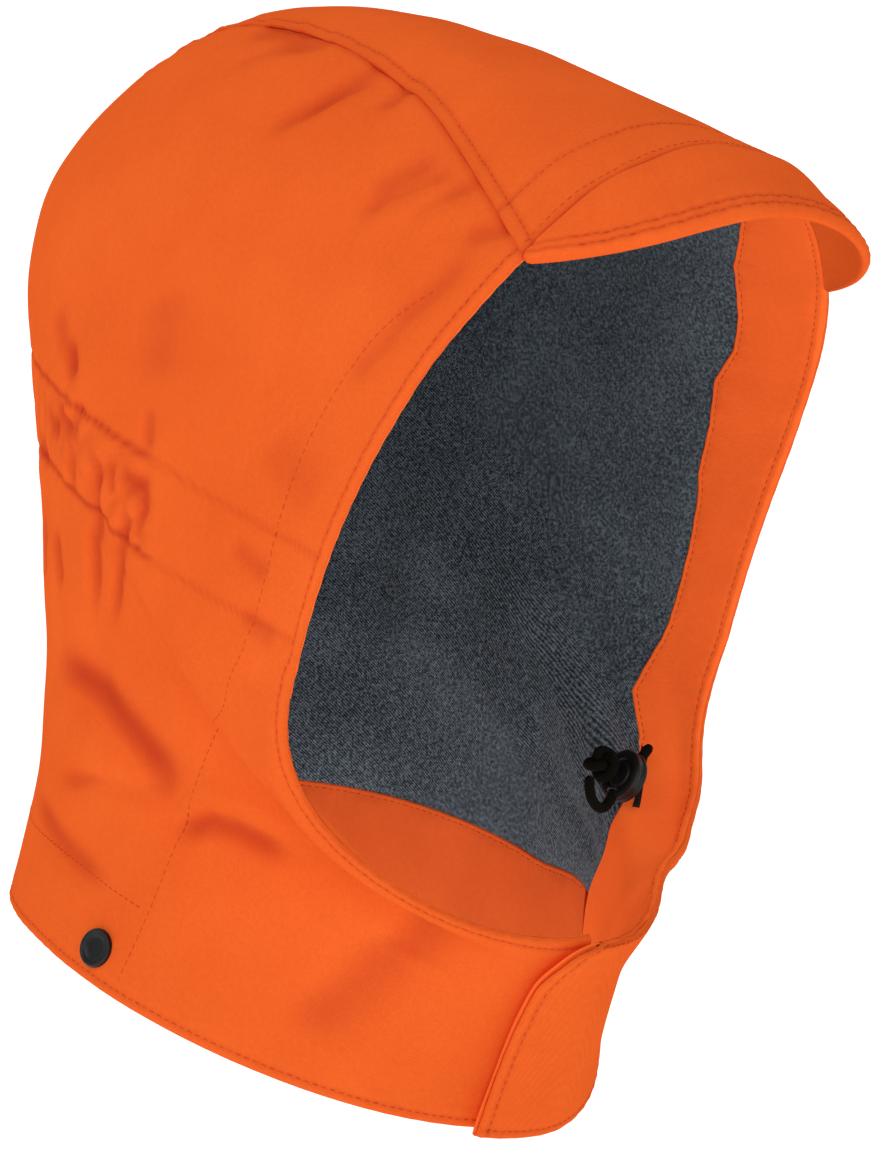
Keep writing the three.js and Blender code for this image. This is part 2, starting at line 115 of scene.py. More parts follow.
def smooth_path(points, count):
    """A curve through the points, at even steps of the chord length between them."""
    lengths = walked_along(points)
    return natural_spline(lengths, points)(np.linspace(0, lengths[-1], count))


def unit(vectors):
    """Vectors divided by their own length."""
    return vectors / np.maximum(np.linalg.norm(vectors, axis=-1, keepdims=True), 1e-12)


def new_piece(name, points, faces, chart, material):
    """A mesh object from points in millimetres, a list of face arrays and a chart of cloth coordinates."""
    corners = np.concatenate([part.ravel() for part in faces])
    sizes = np.concatenate([np.full(len(part), part.shape[1]) for part in faces])
    mesh = bpy.data.meshes.new(name)
    mesh.vertices.add(len(points))
    mesh.vertices.foreach_set("co", (points / 1000).astype(np.float32).ravel())
    mesh.loops.add(len(corners))
    mesh.loops.foreach_set("vertex_index", corners.astype(np.int32))
    mesh.polygons.add(len(sizes))
    mesh.polygons.foreach_set("loop_start", np.r_[0, np.cumsum(sizes)[:-1]].astype(np.int32))
    mesh.polygons.foreach_set("use_smooth", np.ones(len(sizes), bool))
    mesh.update(calc_edges=True)
    mesh.uv_layers.new(name="UVMap")
    mesh.uv_layers["UVMap"].data.foreach_set("uv", chart[corners].astype(np.float32).ravel())
    mesh.materials.append(material)
    piece = bpy.data.objects.new(name, mesh)
    bpy.context.scene.collection.objects.link(piece)
    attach(piece, "root")
    return piece


def quads_of(index):
    """The four-cornered faces of a grid of point numbers: each joins four neighbours, round in turn."""
    return np.stack([index[:-1, :-1], index[1:, :-1], index[1:, 1:], index[:-1, 1:]], -1).reshape(-1, 4)


def volume_of(points, quads):
    """Six times the volume inside the quads: the sum of the triple products of their two triangles."""
    a, b, c, d = (points[quads[:, k]] for k in range(4))
    return (np.cross(b - a, c - a) * a).sum() + (np.cross(c - a, d - a) * a).sum()


def tube(name, path, radius, sides, material, closed=False):
    """A round section carried along a path, square to it. Open ends are closed with domed caps."""
    count = len(path)
    ahead = unit(np.roll(path, -1, 0) - np.roll(path, 1, 0) if closed else np.gradient(path, axis=0))
    across = [np.cross(ahead[0], [0.3, 1, 0.2])]
    for k in range(1, count):
        across.append(across[-1] - ahead[k] * (across[-1] @ ahead[k]))
    across = unit(np.array(across))
    if closed:
        over = np.cross(ahead[0], across[0])
        slip = math.atan2(across[-1] @ over, across[-1] @ across[0]) * np.arange(count) / count
        across = across * np.cos(slip)[:, None] - np.cross(ahead, across) * np.sin(slip)[:, None]
    lines = [path, ahead, across, np.cross(ahead, across), np.full(count, radius)]
    if not closed:
        lines = [np.concatenate([line[:1]] * 2 + [line] + [line[-1:]] * 2) for line in lines]
        dome = np.array([0.35, 0.75])
        cap = radius * np.sqrt(1 - dome**2)
        lines[0] = lines[0] + lines[1] * np.r_[-cap, np.zeros(count), cap[::-1]][:, None]
        lines[4] = lines[4] * np.r_[dome, np.ones(count), dome[::-1]]
    path, ahead, across, rise, thick = lines
    turn = np.linspace(0, 2 * np.pi, sides, endpoint=False)
    ring = np.cos(turn)[:, None] * across[:, None] + np.sin(turn)[:, None] * rise[:, None]
    points = (path[:, None] + ring * thick[:, None, None]).reshape(-1, 3)
    index = np.arange(len(points)).reshape(-1, sides)
    faces = [quads_of(np.pad(index, ((0, int(closed)), (0, 1)), mode="wrap").T)]
    chart = np.stack(np.broadcast_arrays(turn[None] * radius, walked_along(path)[:, None]), -1).reshape(-1, 2)
    if not closed:
        faces += [index[:1, ::-1], index[-1:]]
    if volume_of(points, faces[0]) < 0:
        faces = [part[:, ::-1] for part in faces]
    return new_piece(name, points, faces, chart / 1000, material)


def material_nodes(name):
    """A new material with its Principled shader, and a function that adds nodes to it."""
    made = bpy.data.materials.new(name)
    made.use_nodes = True
    nodes, links = made.node_tree.nodes, made.node_tree.links
    shader = nodes["Principled BSDF"]

    def node(kind, settings=None, **inputs):
        """A shader node with its settings and its inputs: values, or sockets to link."""
        made_node = nodes.new("ShaderNode" + kind)
        for key, value in (settings or {}).items():
            setattr(made_node, key, value)
        for key, value in inputs.items():
            numbered = key[0] == "i" and key[1:].isdigit()
            socket = made_node.inputs[int(key[1:]) if numbered else key.replace("_", " ")]
            if isinstance(value, bpy.types.NodeSocket):
                links.new(value, socket)
            else:
                socket.default_value = value
        return made_node

    return made, node, links, shader


def maths(node, what, a, b=0.0, c=0.0):
    """One operation on up to three values or sockets."""
    return node("Math", {"operation": what}, i0=a, i1=b, i2=c).outputs[0]


def mixed(node, share, low, high):
    """A colour between two others, which are tuples or sockets."""
    low, high = (end if isinstance(end, bpy.types.NodeSocket) else (*end, 1) for end in (low, high))
    return node("Mix", {"data_type": "RGBA"}, Factor=share, i6=low, i7=high).outputs[2]


def noise(node, scale, detail, rough=0.5):
    """Noise from 0 to 1 by the place in the frame."""
    place = node("TexCoord").outputs["Object"]
    return node("TexNoise", Vector=place, Scale=scale, Detail=detail, Roughness=rough).outputs[0]


def swayed(node, value, pattern, amount):
    """A value raised or lowered by a pattern from 0 to 1: amount times the pattern less one half."""
    return maths(node, "MULTIPLY_ADD", maths(node, "SUBTRACT", pattern, 0.5), amount, value)


def chart_axes(node):
    """The two cloth coordinates of a piece, in millimetres."""
    chart = node("UVMap", {"uv_map": "UVMap"}).outputs[0]
    parts = node("SeparateXYZ", Vector=chart)
    return [maths(node, "MULTIPLY", parts.outputs[k], 1000.0) for k in range(2)]


def stripes(node, along, across, slope, pitch):
    """Even stripes from 0 to 1: a sine of the distance square to lines of that slope."""
    far = maths(node, "ADD", maths(node, "MULTIPLY", along, math.sin(slope)),
                maths(node, "MULTIPLY", across, -math.cos(slope)))
    wave = maths(node, "SINE", maths(node, "MULTIPLY", far, 2 * math.pi / pitch))
    return maths(node, "MULTIPLY_ADD", wave, 0.5, 0.5)


def braided_cord():
    """Black polyester braid: two sets of stripes that cross round the cord raise a lozenge pattern."""
    made, node, links, shader = material_nodes("braided_cord")
    along, across = chart_axes(node)
    braid = maths(node, "MAXIMUM", *(stripes(node, along, across, slope, 0.9) for slope in (0.9, -0.9)))
    links.new(mixed(node, braid, (0.001, 0.001, 0.001), (0.006, 0.006, 0.003)), shader.inputs["Base Color"])
    shader.inputs["Roughness"].default_value = 0.9
    shader.inputs["Specular IOR Level"].default_value = 0.08
    bump = node("Bump", Strength=0.7, Distance=0.0003, Height=braid)
    links.new(bump.outputs[0], shader.inputs["Normal"])
    return made


CORD_CLOTH = braided_cord()
route = smooth_path(CORD_ROUTE, 40)
drawcord = tube("drawcord", route, CORD_THICK / 2, 14, CORD_CLOTH)
turns = np.linspace(0, 4 * np.pi, 150, endpoint=False)
swell = KNOT_REACH * (2 + np.cos(1.5 * turns)) / 2
loop = np.stack([swell * np.cos(turns), swell * np.sin(turns), KNOT_DEPTH * np.sin(1.5 * turns)], -1)
flat = unit(np.cross([0, 0, 1], LOCK_AXIS))
loop = loop @ np.array([flat, np.cross(LOCK_AXIS, flat), LOCK_AXIS]) + LOCK_CENTRE + KNOT_FROM_LOCK
knot = tube("drawcord_knot", loop, KNOT_CORD_THICK / 2, 14, CORD_CLOTH, closed=True)


# Cord lock: a moulded black plastic drum, 18 mm across, with a rounded rim and a sunk press button.
# It has rolled half on its edge against the facing, as in the photograph.
# The cord runs across it through two holes with raised lips, and friction keeps it in place.
LOCK_RADIUS, LOCK_FLATNESS = 9.0, 0.8
LOCK_PROFILE = np.array([
    [0.0, -3.5], [7.4, -3.5], [9.0, -2.6], [9.0, -1.2], [8.6, -0.9], [8.6, 0.9], [9.0, 1.2], [9.0, 2.6],
    [7.6, 3.5], [5.6, 3.5], [5.2, 2.7], [4.8, 2.7], [4.4, 3.4], [0.0, 3.5],
])
DRUM_AXIS = unit(np.array([-0.88, 0.2, 0.43]))
DRUM_CENTRE = LOCK_CENTRE - 1.8 * LOCK_AXIS
HOLE_AXIS = unit(np.array([-0.797, 0, -0.604]))
LIP_RADIUS, LIP_THICK, LIP_REACH = 2.3, 1.0, 6.5


def softened(profile, ease):
    """The profile with each corner cut back by ease at most and rounded by a parabola between the cuts."""
    corner = profile[1:-1]
    ends = []
    for end in (profile[:-2], profile[2:]):
        far = np.linalg.norm(end - corner, axis=1)[:, None]
        ends.append((corner + (end - corner) / far * np.minimum(ease, far * 0.45))[:, None])
    share = np.array([0, 0.25, 0.5, 0.75, 1])[None, :, None]
    bent = (1 - share) ** 2 * ends[0] + 2 * share * (1 - share) * corner[:, None] + share**2 * ends[1]
    return np.concatenate([profile[:1], bent.reshape(-1, 2), profile[-1:]])


def turned(name, profile, centre, axis, sides, material):
    """A profile of (radius, height) turned about an axis through the centre. The poles close with fans."""
    axis = unit(np.asarray(axis, float))
    flat = unit(np.cross(axis, [0.2, 0.9, 0.1]))
    turn = np.linspace(0, 2 * np.pi, sides, endpoint=False)
    spoke = np.cos(turn)[:, None] * flat + np.sin(turn)[:, None] * np.cross(axis, flat)
    rings = profile[1:-1]
    points = centre + rings[:, None, :1] * spoke[None] + rings[:, None, 1:] * axis
    poles = centre + profile[[0, -1], 1:] * axis
    index = np.arange(len(rings) * sides).reshape(-1, sides)
    quads = quads_of(np.pad(index, ((0, 0), (0, 1)), mode="wrap"))
    fans = np.concatenate([
        np.stack(np.broadcast_arrays(index.size, index[0], np.roll(index[0], -1)), -1),
        np.stack(np.broadcast_arrays(index.size + 1, np.roll(index[-1], -1), index[-1]), -1),
    ])
    points = np.concatenate([points.reshape(-1, 3), poles])
    if volume_of(points, quads) < 0:
        quads, fans = quads[:, ::-1], fans[:, ::-1]
    walked = walked_along(rings)
    chart = np.stack(np.broadcast_arrays(turn[None] * LOCK_RADIUS, walked[:, None]), -1).reshape(-1, 2)
    chart = np.concatenate([chart, [[0, 0], [0, walked[-1]]]])
    return new_piece(name, points, [quads, fans], chart / 1000, material)


def moulded_plastic(name, tone, rough):
    """Black moulded plastic: fine grain in the roughness and a faint orange-peel bump."""
    made, node, links, shader = material_nodes(name)
    grain = noise(node, 900.0, 3.0)
    colour = mixed(node, noise(node, 120.0, 2.0), [tone * 0.8] * 3, [tone * 1.3] * 3)
    links.new(colour, shader.inputs["Base Color"])
    links.new(maths(node, "MULTIPLY_ADD", grain, 0.25, rough - 0.12), shader.inputs["Roughness"])
    shader.inputs["Specular IOR Level"].default_value = 0.3
    bump = node("Bump", Strength=0.25, Distance=0.0002, Height=grain)
    links.new(bump.outputs[0], shader.inputs["Normal"])
    return made


LOCK_PLASTIC = moulded_plastic("lock_plastic", 0.006, 0.42)
drum = turned("cord_lock_drum", softened(LOCK_PROFILE * [1, LOCK_FLATNESS], 0.5), DRUM_CENTRE, DRUM_AXIS, 72,
              LOCK_PLASTIC)
spin = np.linspace(0, 2 * np.pi, 28, endpoint=False)
level_arm = unit(np.cross(HOLE_AXIS, LOCK_AXIS))
ring = np.cos(spin)[:, None] * level_arm + np.sin(spin)[:, None] * np.cross(HOLE_AXIS, level_arm)
lips = [
    tube("cord_lock_lip_" + end, LOCK_CENTRE + HOLE_AXIS * reach + ring * LIP_RADIUS, LIP_THICK / 2, 8,
         LOCK_PLASTIC, closed=True)
    for end, reach in (("inner", LIP_REACH), ("outer", -LIP_REACH))
]
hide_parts("cord_lock_left")
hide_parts("cord_left")
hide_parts("cord_knot_left")
length = walked_along(route)[-1]


# Side panels: the two curved halves of the shell, cut from orange high-visibility polyester twill.
# Each runs from centre front round to the seam with the centre panel, and the left one laps over the right.
CROWN_TO_HEM, FACE_TO_BACK, SIDE_TO_SIDE = 362.0, 286.0, 212.0
CHIN_HEIGHT, CHIN_SLANT, CHIN_HEM_FORWARD = 67.0, math.radians(20), 100.0
SHELL, PLY_GAP, WALL, CLEARANCE = 1.0, 1.9, 3.9, 0.3
LAP_WIDTH, LAP_LIFT, LAP_RUN = 26.5, 6.3, math.radians(42)
# Sections from the hem (0) to the face edge (1): place, rise at the chin, where each ends at the back
# (Y, Z), half width, fullest place, squareness in front and at the back, bow and lean.
SECTIONS = np.array([
    [0.0, 0.0, 0.381, -0.828, 0.966, 0.47, 1.79, 2.12, -0.054, 0.001],
    [0.1, 0.34, 0.366, -0.718, 0.865, 0.47, 1.73, 2.15, -0.07, -0.012],
    [0.26, 0.6, 0.369, -0.497, 0.823, 0.46, 1.76, 2.19, -0.059, -0.014],
    [0.42, 0.77, 0.391, -0.264, 0.835, 0.44, 1.85, 2.23, -0.029, 0.002],
    [0.58, 0.88, 0.307, -0.085, 0.941, 0.41, 1.96, 2.27, 0.027, 0.017],
    [0.72, 0.94, 0.002, 0.0, 0.989, 0.37, 2.05, 2.27, 0.078, 0.036],
    [0.86, 0.975, -0.326, -0.073, 1.0, 0.35, 2.12, 2.28, 0.121, 0.051],
    [1.0, 1.0, -0.61, -0.178, 0.995, 0.33, 2.21, 2.29, 0.153, 0.062],
])
# Half the width of the centre panel from hem to face edge, as a share of half the width.
CENTRE_HALF = np.array([
    [0.0, 0.32], [0.35, 0.32], [0.68, 0.335], [0.78, 0.42], [0.86, 0.485], [0.93, 0.6], [1.0, 0.7],
])
# The hem hangs lower on the left: the drop, how far up it reaches and the turns (degrees) of its fade.
HANG_DROP, HANG_RUN, HANG_TURN = 30.0, 0.3, (45, 92, 210)
section = natural_spline(SECTIONS[:, 0], SECTIONS[:, 1:])
centre_half = natural_spline(CENTRE_HALF[:, 0], CENTRE_HALF[:, 1])


def smooth(share):
    """0 to 1 with level ends: three shares squared less two cubed."""
    share = np.clip(share, 0, 1)
    return share * share * (3 - 2 * share)


def hump(far, width):
    """A bell curve that is 1 at its middle: e to the power of minus the square of far over width."""
    return np.exp(-((far / width) ** 2))


def ripple(along, rate, sway, slow):
    """A wave of wandering phase: the sine of rate times along, plus sway times another, slow sine."""
    return np.sin(rate * along + sway * np.sin(slow * along))


def hang_at(turn):
    """How far the hem hangs lower: the full drop on the left, fading to centre front and past the back."""
    left = np.mod(-np.degrees(turn), 360)
    front, full, back = HANG_TURN
    return HANG_DROP * smooth((left - front) / (full - front)) * smooth((back - left) / (back - full))


def outer_face(at, turn):
    """The smooth outer face: squared ovals from hem to face edge, fanned about the chin and bowed."""
    at, turn = np.broadcast_arrays(np.asarray(at, float), np.asarray(turn, float))
    rise, back_y, back_z, half, fullest, front_round, back_round, bow, lean = np.moveaxis(section(at), -1, 0)
    chin = rise * CHIN_HEIGHT
    front_y = -CHIN_HEM_FORWARD - chin * math.sin(CHIN_SLANT)
    front_z = WALL - CROWN_TO_HEM + chin * math.cos(CHIN_SLANT)
    span_y = back_y * FACE_TO_BACK - front_y
    span_z = WALL + back_z * CROWN_TO_HEM - front_z
    length = np.hypot(span_y, span_z)
    sine, cosine = np.sin(turn), np.cos(turn)
    power = 2 / np.where(cosine > 0, front_round, back_round)
    reach = np.abs(cosine) ** power
    along = np.where(cosine > 0, fullest * (1 - reach), fullest + (1 - fullest) * reach)
    swell = (bow + lean * cosine) * sine**2 * FACE_TO_BACK
    x = -half * SIDE_TO_SIDE / 2 * np.sign(sine) * np.abs(sine) ** power
    y = front_y + span_y * along + span_z / length * swell
    z = front_z + span_z * along - span_y / length * swell
    z = z - hang_at(turn) * np.maximum(1 - at / HANG_RUN, 0) ** 2
    return np.stack([x, y, z], -1)


def outward(at, turn, step=1e-3):
    """The outward direction: square to the way up the cloth and the way round it."""
    up = outer_face(np.minimum(at + step, 1), turn) - outer_face(np.maximum(at - step, 0), turn)
    return unit(np.cross(up, outer_face(at, turn + step) - outer_face(at, turn - step)))


def turn_at_width(at, distance, front):
    """The turn at which a section is a given distance from the middle plane, in front or at the back."""
    values = section(at)
    power = values[..., 5 if front else 6] / 2
    angle = np.arcsin(np.clip(distance / (values[..., 3] * SIDE_TO_SIDE / 2), 0, 1) ** power)
    return angle if front else np.pi - angle


def place_from(edge, turn, length):
    """The place along lines of constant turn that lies a given length from the hem (0) or face edge (1)."""
    turn, length = np.broadcast_arrays(np.asarray(turn, float), np.asarray(length, float))
    count = 160
    line = outer_face(np.abs(edge - np.linspace(0, 1, count + 1))[:, None], turn.ravel()[None])
    walked = walked_along(line)
    k = np.clip((walked < length.ravel()).sum(0), 1, count)
    pick = np.arange(turn.size)
    share = (length.ravel() - walked[k - 1, pick]) / (walked[k, pick] - walked[k - 1, pick])
    return np.abs(edge - (k - 1 + share) / count).reshape(turn.shape)


def lap_width(at):
    """How far the left front laps past centre front: widest at the hem and rounded off at the face edge."""
    rise = np.clip(section(at)[..., 0], 0, 1)
    return LAP_WIDTH * (1 - rise / 3) * np.sqrt(1 - rise**12)


def crease(y, z, path, width, height, lip):
    """A bent valley or ridge of bell section, with a lower lip beside it, faded at both ends."""
    path = np.asarray(path, float)
    run = np.diff(path, axis=0)
    lengths = np.hypot(run[:, 0], run[:, 1])
    offset = np.stack([y, z], -1)[..., None, :] - path[:-1]
    share = np.clip((offset * run).sum(-1) / lengths**2, 0, 1)
    gap = offset - share[..., None] * run
    far = np.hypot(gap[..., 0], gap[..., 1])
    k = far.argmin(-1)[..., None]
    far = np.take_along_axis(far, k, -1)[..., 0]
    beside = np.take_along_axis(run[:, 0] * gap[..., 1] - run[:, 1] * gap[..., 0], k, -1)[..., 0]
    walked = (np.cumsum(lengths) - lengths + share * lengths) / lengths.sum()
    walked = np.take_along_axis(walked, k, -1)[..., 0]
    fade = smooth(3.5 * np.minimum(walked, 1 - walked) + 0.15)
    far = far * np.sign(beside)
    return height * fade * (hump(far, width) - lip * hump(far - 1.8 * width, 1.3 * width))


# Broad folds that both plies follow: the bent path in side view (Y, Z), half width and height.
BROAD_FOLDS = [
    ([(54.3, -216.9), (20.0, -224.2)], 14.3, -2.34),
    ([(20.0, -224.2), (-25.7, -251.3)], 14.3, -2.54),
    ([(40.0, -231.4), (5.7, -247.7)], 15.7, 1.95),
    ([(54.3, -151.8), (51.5, -191.6)], 12.9, -1.56),
    ([(2.9, -162.6), (22.9, -206.1)], 12.9, -1.56),
    ([(-82.9, -34.1), (-54.3, -48.6)], 11.4, -1.37),
    ([(-114.4, -59.5), (-100.1, -77.6)], 11.4, -1.17),
    ([(-31.5, -262.2), (-68.6, -267.6)], 11.4, -1.37),
]
LEFT_SHIFT = np.array([8.6, 12.7])
# Creases of the shell alone: the bent path in side view, half width, height and the share of the lip.
CREASES = [
    ([(20.5, -110), (16.7, -124)], 3.6, -1.0, 0.3),
    ([(32.7, -99), (24.7, -112.5), (14.8, -124)], 5.0, -0.9, 0.4),
    ([(51, -137.6), (33, -139), (19.8, -142.6)], 4.4, -1.5, 0.3),
    ([(33, -129.5), (24, -137), (12, -143)], 3.6, -1.2, 0.5),
    ([(17.8, -142.6), (30.0, -152.0), (29.4, -158)], 3.4, -1.3, 0.5),
    ([(7.5, -143), (0.4, -152.4), (7.0, -163.4), (19.0, -175.4), (20.8, -200)], 3.4, -1.5, 0.55),
    ([(-7.7, -150), (-10.5, -161.0)], 3.2, -1.1, 0.3),
    ([(-14, -153), (-26.8, -158.1), (-30, -165)], 3.6, -1.5, 0.4),
    ([(-17.5, -156), (-18, -168), (-12.4, -176.1), (3.8, -185), (7.6, -203)], 3.2, -1.5, 0.55),
    ([(-28.0, -161), (-24.7, -174)], 3.0, -1.0, 0.3),
    ([(-29.1, -133), (-29.7, -147)], 3.2, -0.9, 0.5),
    ([(58, -172), (50, -192)], 4.5, -1.2, 0.5),
    ([(9.4, -130), (16, -141)], 3.2, -0.9, 0.5),
    ([(72, -140), (60, -150)], 5.0, -1.2, 0.4),
    ([(75, -166), (70, -190)], 6.0, -1.1, 0.4),
    ([(56, -216), (34, -220), (17.9, -225.5), (-1.8, -235), (-17, -245), (-29, -256)], 6.5, -1.9, 0.75),
    ([(40, -255.5), (7.5, -251.2), (-23, -253.5)], 3.6, -1.0, 0.6),
    ([(-66, -269), (-48.2, -261.5), (-38.8, -259.8), (-24, -264.6)], 4.2, -1.6, 0.8),
    ([(62, -262), (30.7, -273.5), (-2, -284)], 4.0, -1.2, 0.6),
    ([(-103, -283), (-91.1, -299.5)], 7.0, -0.9, 0.5),
    ([(-93, -292), (-79.5, -308.0), (-66, -323)], 8.0, -0.9, 0.5),
    ([(-70, -174), (-87, -183)], 4.0, -0.8, 0.6),
    ([(-75, -193), (-90, -202)], 4.0, -0.8, 0.6),
    ([(-12, -10), (-28, -11.5), (-46, -18)], 4.5, -0.9, 0.5),
    ([(-18, -24), (-34, -20.5), (-54, -19)], 3.4, -0.8, 0.5),
    ([(-50, -50), (-67.1, -38.5), (-79, -31)], 3.6, -1.0, 0.6),
    ([(-60, -46), (-70.3, -31.3), (-76, -24)], 3.0, -0.6, 0.4),
    ([(-86, -45), (-89, -33)], 3.4, -0.8, 0.6),
    ([(-97, -72), (-114, -61.5)], 4.0, -0.9, 0.6),
    ([(-95, -78), (-111.0, -71.3), (-121, -66)], 3.2, -1.0, 0.6),
    ([(-112, -79), (-131, -70)], 3.4, -0.9, 0.5),
    ([(-133, -87), (-149, -85)], 3.6, -0.9, 0.4),
    ([(-118, -114), (-129.4, -104.0), (-142, -89)], 4.5, -0.8, 0.6),
    ([(-109, -127), (-124, -112)], 4.0, -0.6, 0.5),
    ([(-29.1, -96), (-32.6, -127)], 11.0, -0.6, 0.3),
    ([(-84, -142), (-103, -162)], 9.0, -0.5, 0.4),
    ([(-100, -215), (-92, -245)], 7.0, 0.7, 0.3),
    ([(20, -300), (-20, -318), (-60, -338)], 12.0, 0.6, 0.6),
]
# Height of the neck facing, and its climb at the left chin: the rise, and the turns (degrees) of its run.
NECK_FACING_HEIGHT, NECK_CLIMB, NECK_CLIMB_TURN, NECK_CLIMB_RUN = 29.0, 11, 84, 27


def neck_facing_top(turn):
    """Height of the neck facing above the hem: it grows with the left hem's hang and climbs at the chin."""
    climb = NECK_CLIMB * smooth((NECK_CLIMB_TURN - np.mod(-np.degrees(turn), 360)) / NECK_CLIMB_RUN)
    return NECK_FACING_HEIGHT + hang_at(turn) + climb


# Row of stitches that holds the facing, seen outside: place from hem to face edge and turn in degrees.
FACING_STITCH = [
    (0.97, 130.5), (0.95, 124), (0.935, 115.5), (0.92, 106), (0.91, 99), (0.897, 93.8), (0.864, 90.4),
    (0.795, 83.6), (0.7, 76.2), (0.57, 72.8), (0.42, 75.5), (0.25, 81.5), (0.14, 83.6), (0.01, 84.3),
]
# Stitch lines of the elastic channel in side view: height at Y = 0 and slope.
CHANNEL_LINES = [(-137.4, 0.371), (-168.8, 0.328)]
# The rows of points nearest an edge, how far in the stitches at an edge run, how far the side panels reach
# under the seam, and the least cloth under the floor of a fold.
EDGE_STEPS, EDGE_ROW = np.array([0, 0.3, 0.7, 1.2, 1.8, 2.6]), 3.0
SEAM_UNDERLAP, FOLD_SKIN = 1.3, 0.5


def broad_relief(points, left):
    """The sum of the broad folds at a point; the left side's lie a little further back and higher."""
    shift = np.where(np.asarray(left)[..., None], LEFT_SHIFT, 0)
    place = points[..., 1:] - shift
    relief = np.zeros(place.shape[:-1])
    for path, width, height in BROAD_FOLDS:
        start, run = np.array(path[0]), np.subtract(path[1], path[0])
        share = np.clip((place - start) @ run / (run @ run), 0, 1)
        gap = place - start - share[..., None] * run
        relief += height * hump(np.hypot(gap[..., 0], gap[..., 1]), width)
    return relief


def middle_relief(points):
    """The broad folds on a piece that crosses the middle plane, near which they fade to nothing."""
    return broad_relief(points, points[..., 0] > 0) * smooth(np.abs(points[..., 0]) / 25)


def lap_lift(turn):
    """How far the left front is lifted to lap over the right one and the tape between them."""
    return LAP_LIFT * smooth((LAP_RUN - turn) / LAP_RUN)


# The left face edge stands out and falls in as it hangs (degrees from centre front, millimetres), and how far
# over the cloth that is felt.
LEFT_WAVES = np.array([
    [0, 0], [13, -0.8], [20, -2.0], [26, -3.0], [32, -1.6], [38, 2.2], [44, 3.2], [50, 4.3], [56, 4.8],
    [62, 3.4], [68, 1.8], [76, 0.6], [85, 0], [97, 0.3], [106, 1.6], [112, 3.2], [118, 4.8], [128, 5.6],
    [137, 4.0], [146, 1.6], [156, 0], [180, 0],
])
WAVE_FADE = 55
left_waves = natural_spline(LEFT_WAVES[:, 0], LEFT_WAVES[:, 1])


def edge_wave(turn, from_edge):
    """How far the left face edge is pushed out at a turn counted positive, fading away from the edge."""
    return left_waves(np.degrees(np.clip(turn, 0, np.pi))) * smooth(1 - from_edge / WAVE_FADE)


def middle_edge_wave(points, turn, from_edge):
    """The edge wave on a piece that crosses the middle plane: on its left side only."""
    return np.where(points[..., 0] > 0, edge_wave(2 * np.pi - turn, from_edge), 0)


def softness(y, z):
    """Slight unevenness of limp cloth: five sine waves of differing length and heading."""
    waves = [(61, 0.4, 0.34), (43, 1.9, 0.26), (33, 1.1, 0.2), (24, 2.7, 0.13), (17, 0.2, 0.07)]
    return sum(high * np.sin(2 * np.pi / long * (y * np.cos(way) + z * np.sin(way)) + 3 * way)
               for long, way, high in waves)


def crowded(count, first, last):
    """Shares from 0 to 1 with the edge steps at both ends; first, last: millimetres in a whole share."""
    first, last = np.atleast_1d(first)[:, None], np.atleast_1d(last)[:, None]
    head, tail = EDGE_STEPS / first, 1 - EDGE_STEPS[::-1] / last
    middle = np.linspace(0, 1, count - 2 * len(EDGE_STEPS) + 2)[1:-1]
    return np.concatenate([head, head[:, -1:] + (tail[:, :1] - head[:, -1:]) * middle, tail], 1)


def cloth_grid(rows, columns, start, end, low=None, high=None):
    """A piece's net of (place, turn): even inside, crowded at its four edges. The edges are functions."""
    low, high = low or (lambda turn: 0 * turn), high or (lambda turn: 0 * turn + 1)
    tiny = 1e-3
    shares = np.linspace(0, 1, rows)
    pace = []
    for edge, way in ((start, 1), (end, -1)):
        step = (end(shares) - start(shares)) * way * tiny
        moved = outer_face(shares, edge(shares) + step) - outer_face(shares, edge(shares))
        pace.append(np.linalg.norm(moved, axis=-1) / tiny)
    across = crowded(columns, *pace)
    guide, half = np.linspace(0, 1, 2001), np.array([0.5])
    walked = walked_along(outer_face(0.5, start(half) + (end(half) - start(half)) * guide))
    even = np.interp(across, walked / walked[-1], guide)
    keep = np.minimum(across, 1 - across)
    across = across + (even - across) * smooth((keep - 0.03) / 0.05)
    turn = start(shares)[:, None] + (end(shares) - start(shares))[:, None] * across
    foot, top = low(turn[0]), high(turn[-1])
    pace = []
    for edge, line, way in ((foot, turn[0], 1), (top, turn[-1], -1)):
        moved = outer_face(edge + way * tiny * (top - foot), line) - outer_face(edge, line)
        pace.append(np.linalg.norm(moved, axis=-1) / tiny)
    at = foot + (top - foot) * crowded(rows, *pace).T
    return at, start(at) + (end(at) - start(at)) * across


def four_walks(points):
    """Millimetres over a net from its first row, its last row, its first column and its last column."""
    return [walked_along(points, axis, backwards) for axis in (0, 1) for backwards in (False, True)]


def raised(points, up, height):
    """Points moved along the upward directions by a height at each."""
    return points + up * np.asarray(height)[..., None]


def rolled(distance, radius=1.9):
    """How far a turned edge curls in: a quarter circle over its last radius, nothing beyond."""
    return radius - np.sqrt(np.maximum(radius**2 - np.maximum(radius - distance, 0) ** 2, 0))


def groove(distance, width=1.1, depth=0.3):
    """The dip that a row of stitches pulls into the cloth."""
    return -depth * hump(distance, width)


def pucker(distance, along, pitch=7.5, reach=5.0, height=0.13):
    """Small ripples beside a row of stitches."""
    return height * ripple(along, 2 * np.pi / pitch, 1.3, 1 / 11) * hump(distance, reach)


def facing_out(net):
    """+1 where rows and then columns turn about the outward side of the net, -1 the other way."""
    across = np.cross(np.diff(net["face"], axis=0)[:, :-1], np.diff(net["face"], axis=1)[:-1])
    return 1 if (across * (net["face"] - net["back"])[:-1, :-1]).sum() > 0 else -1


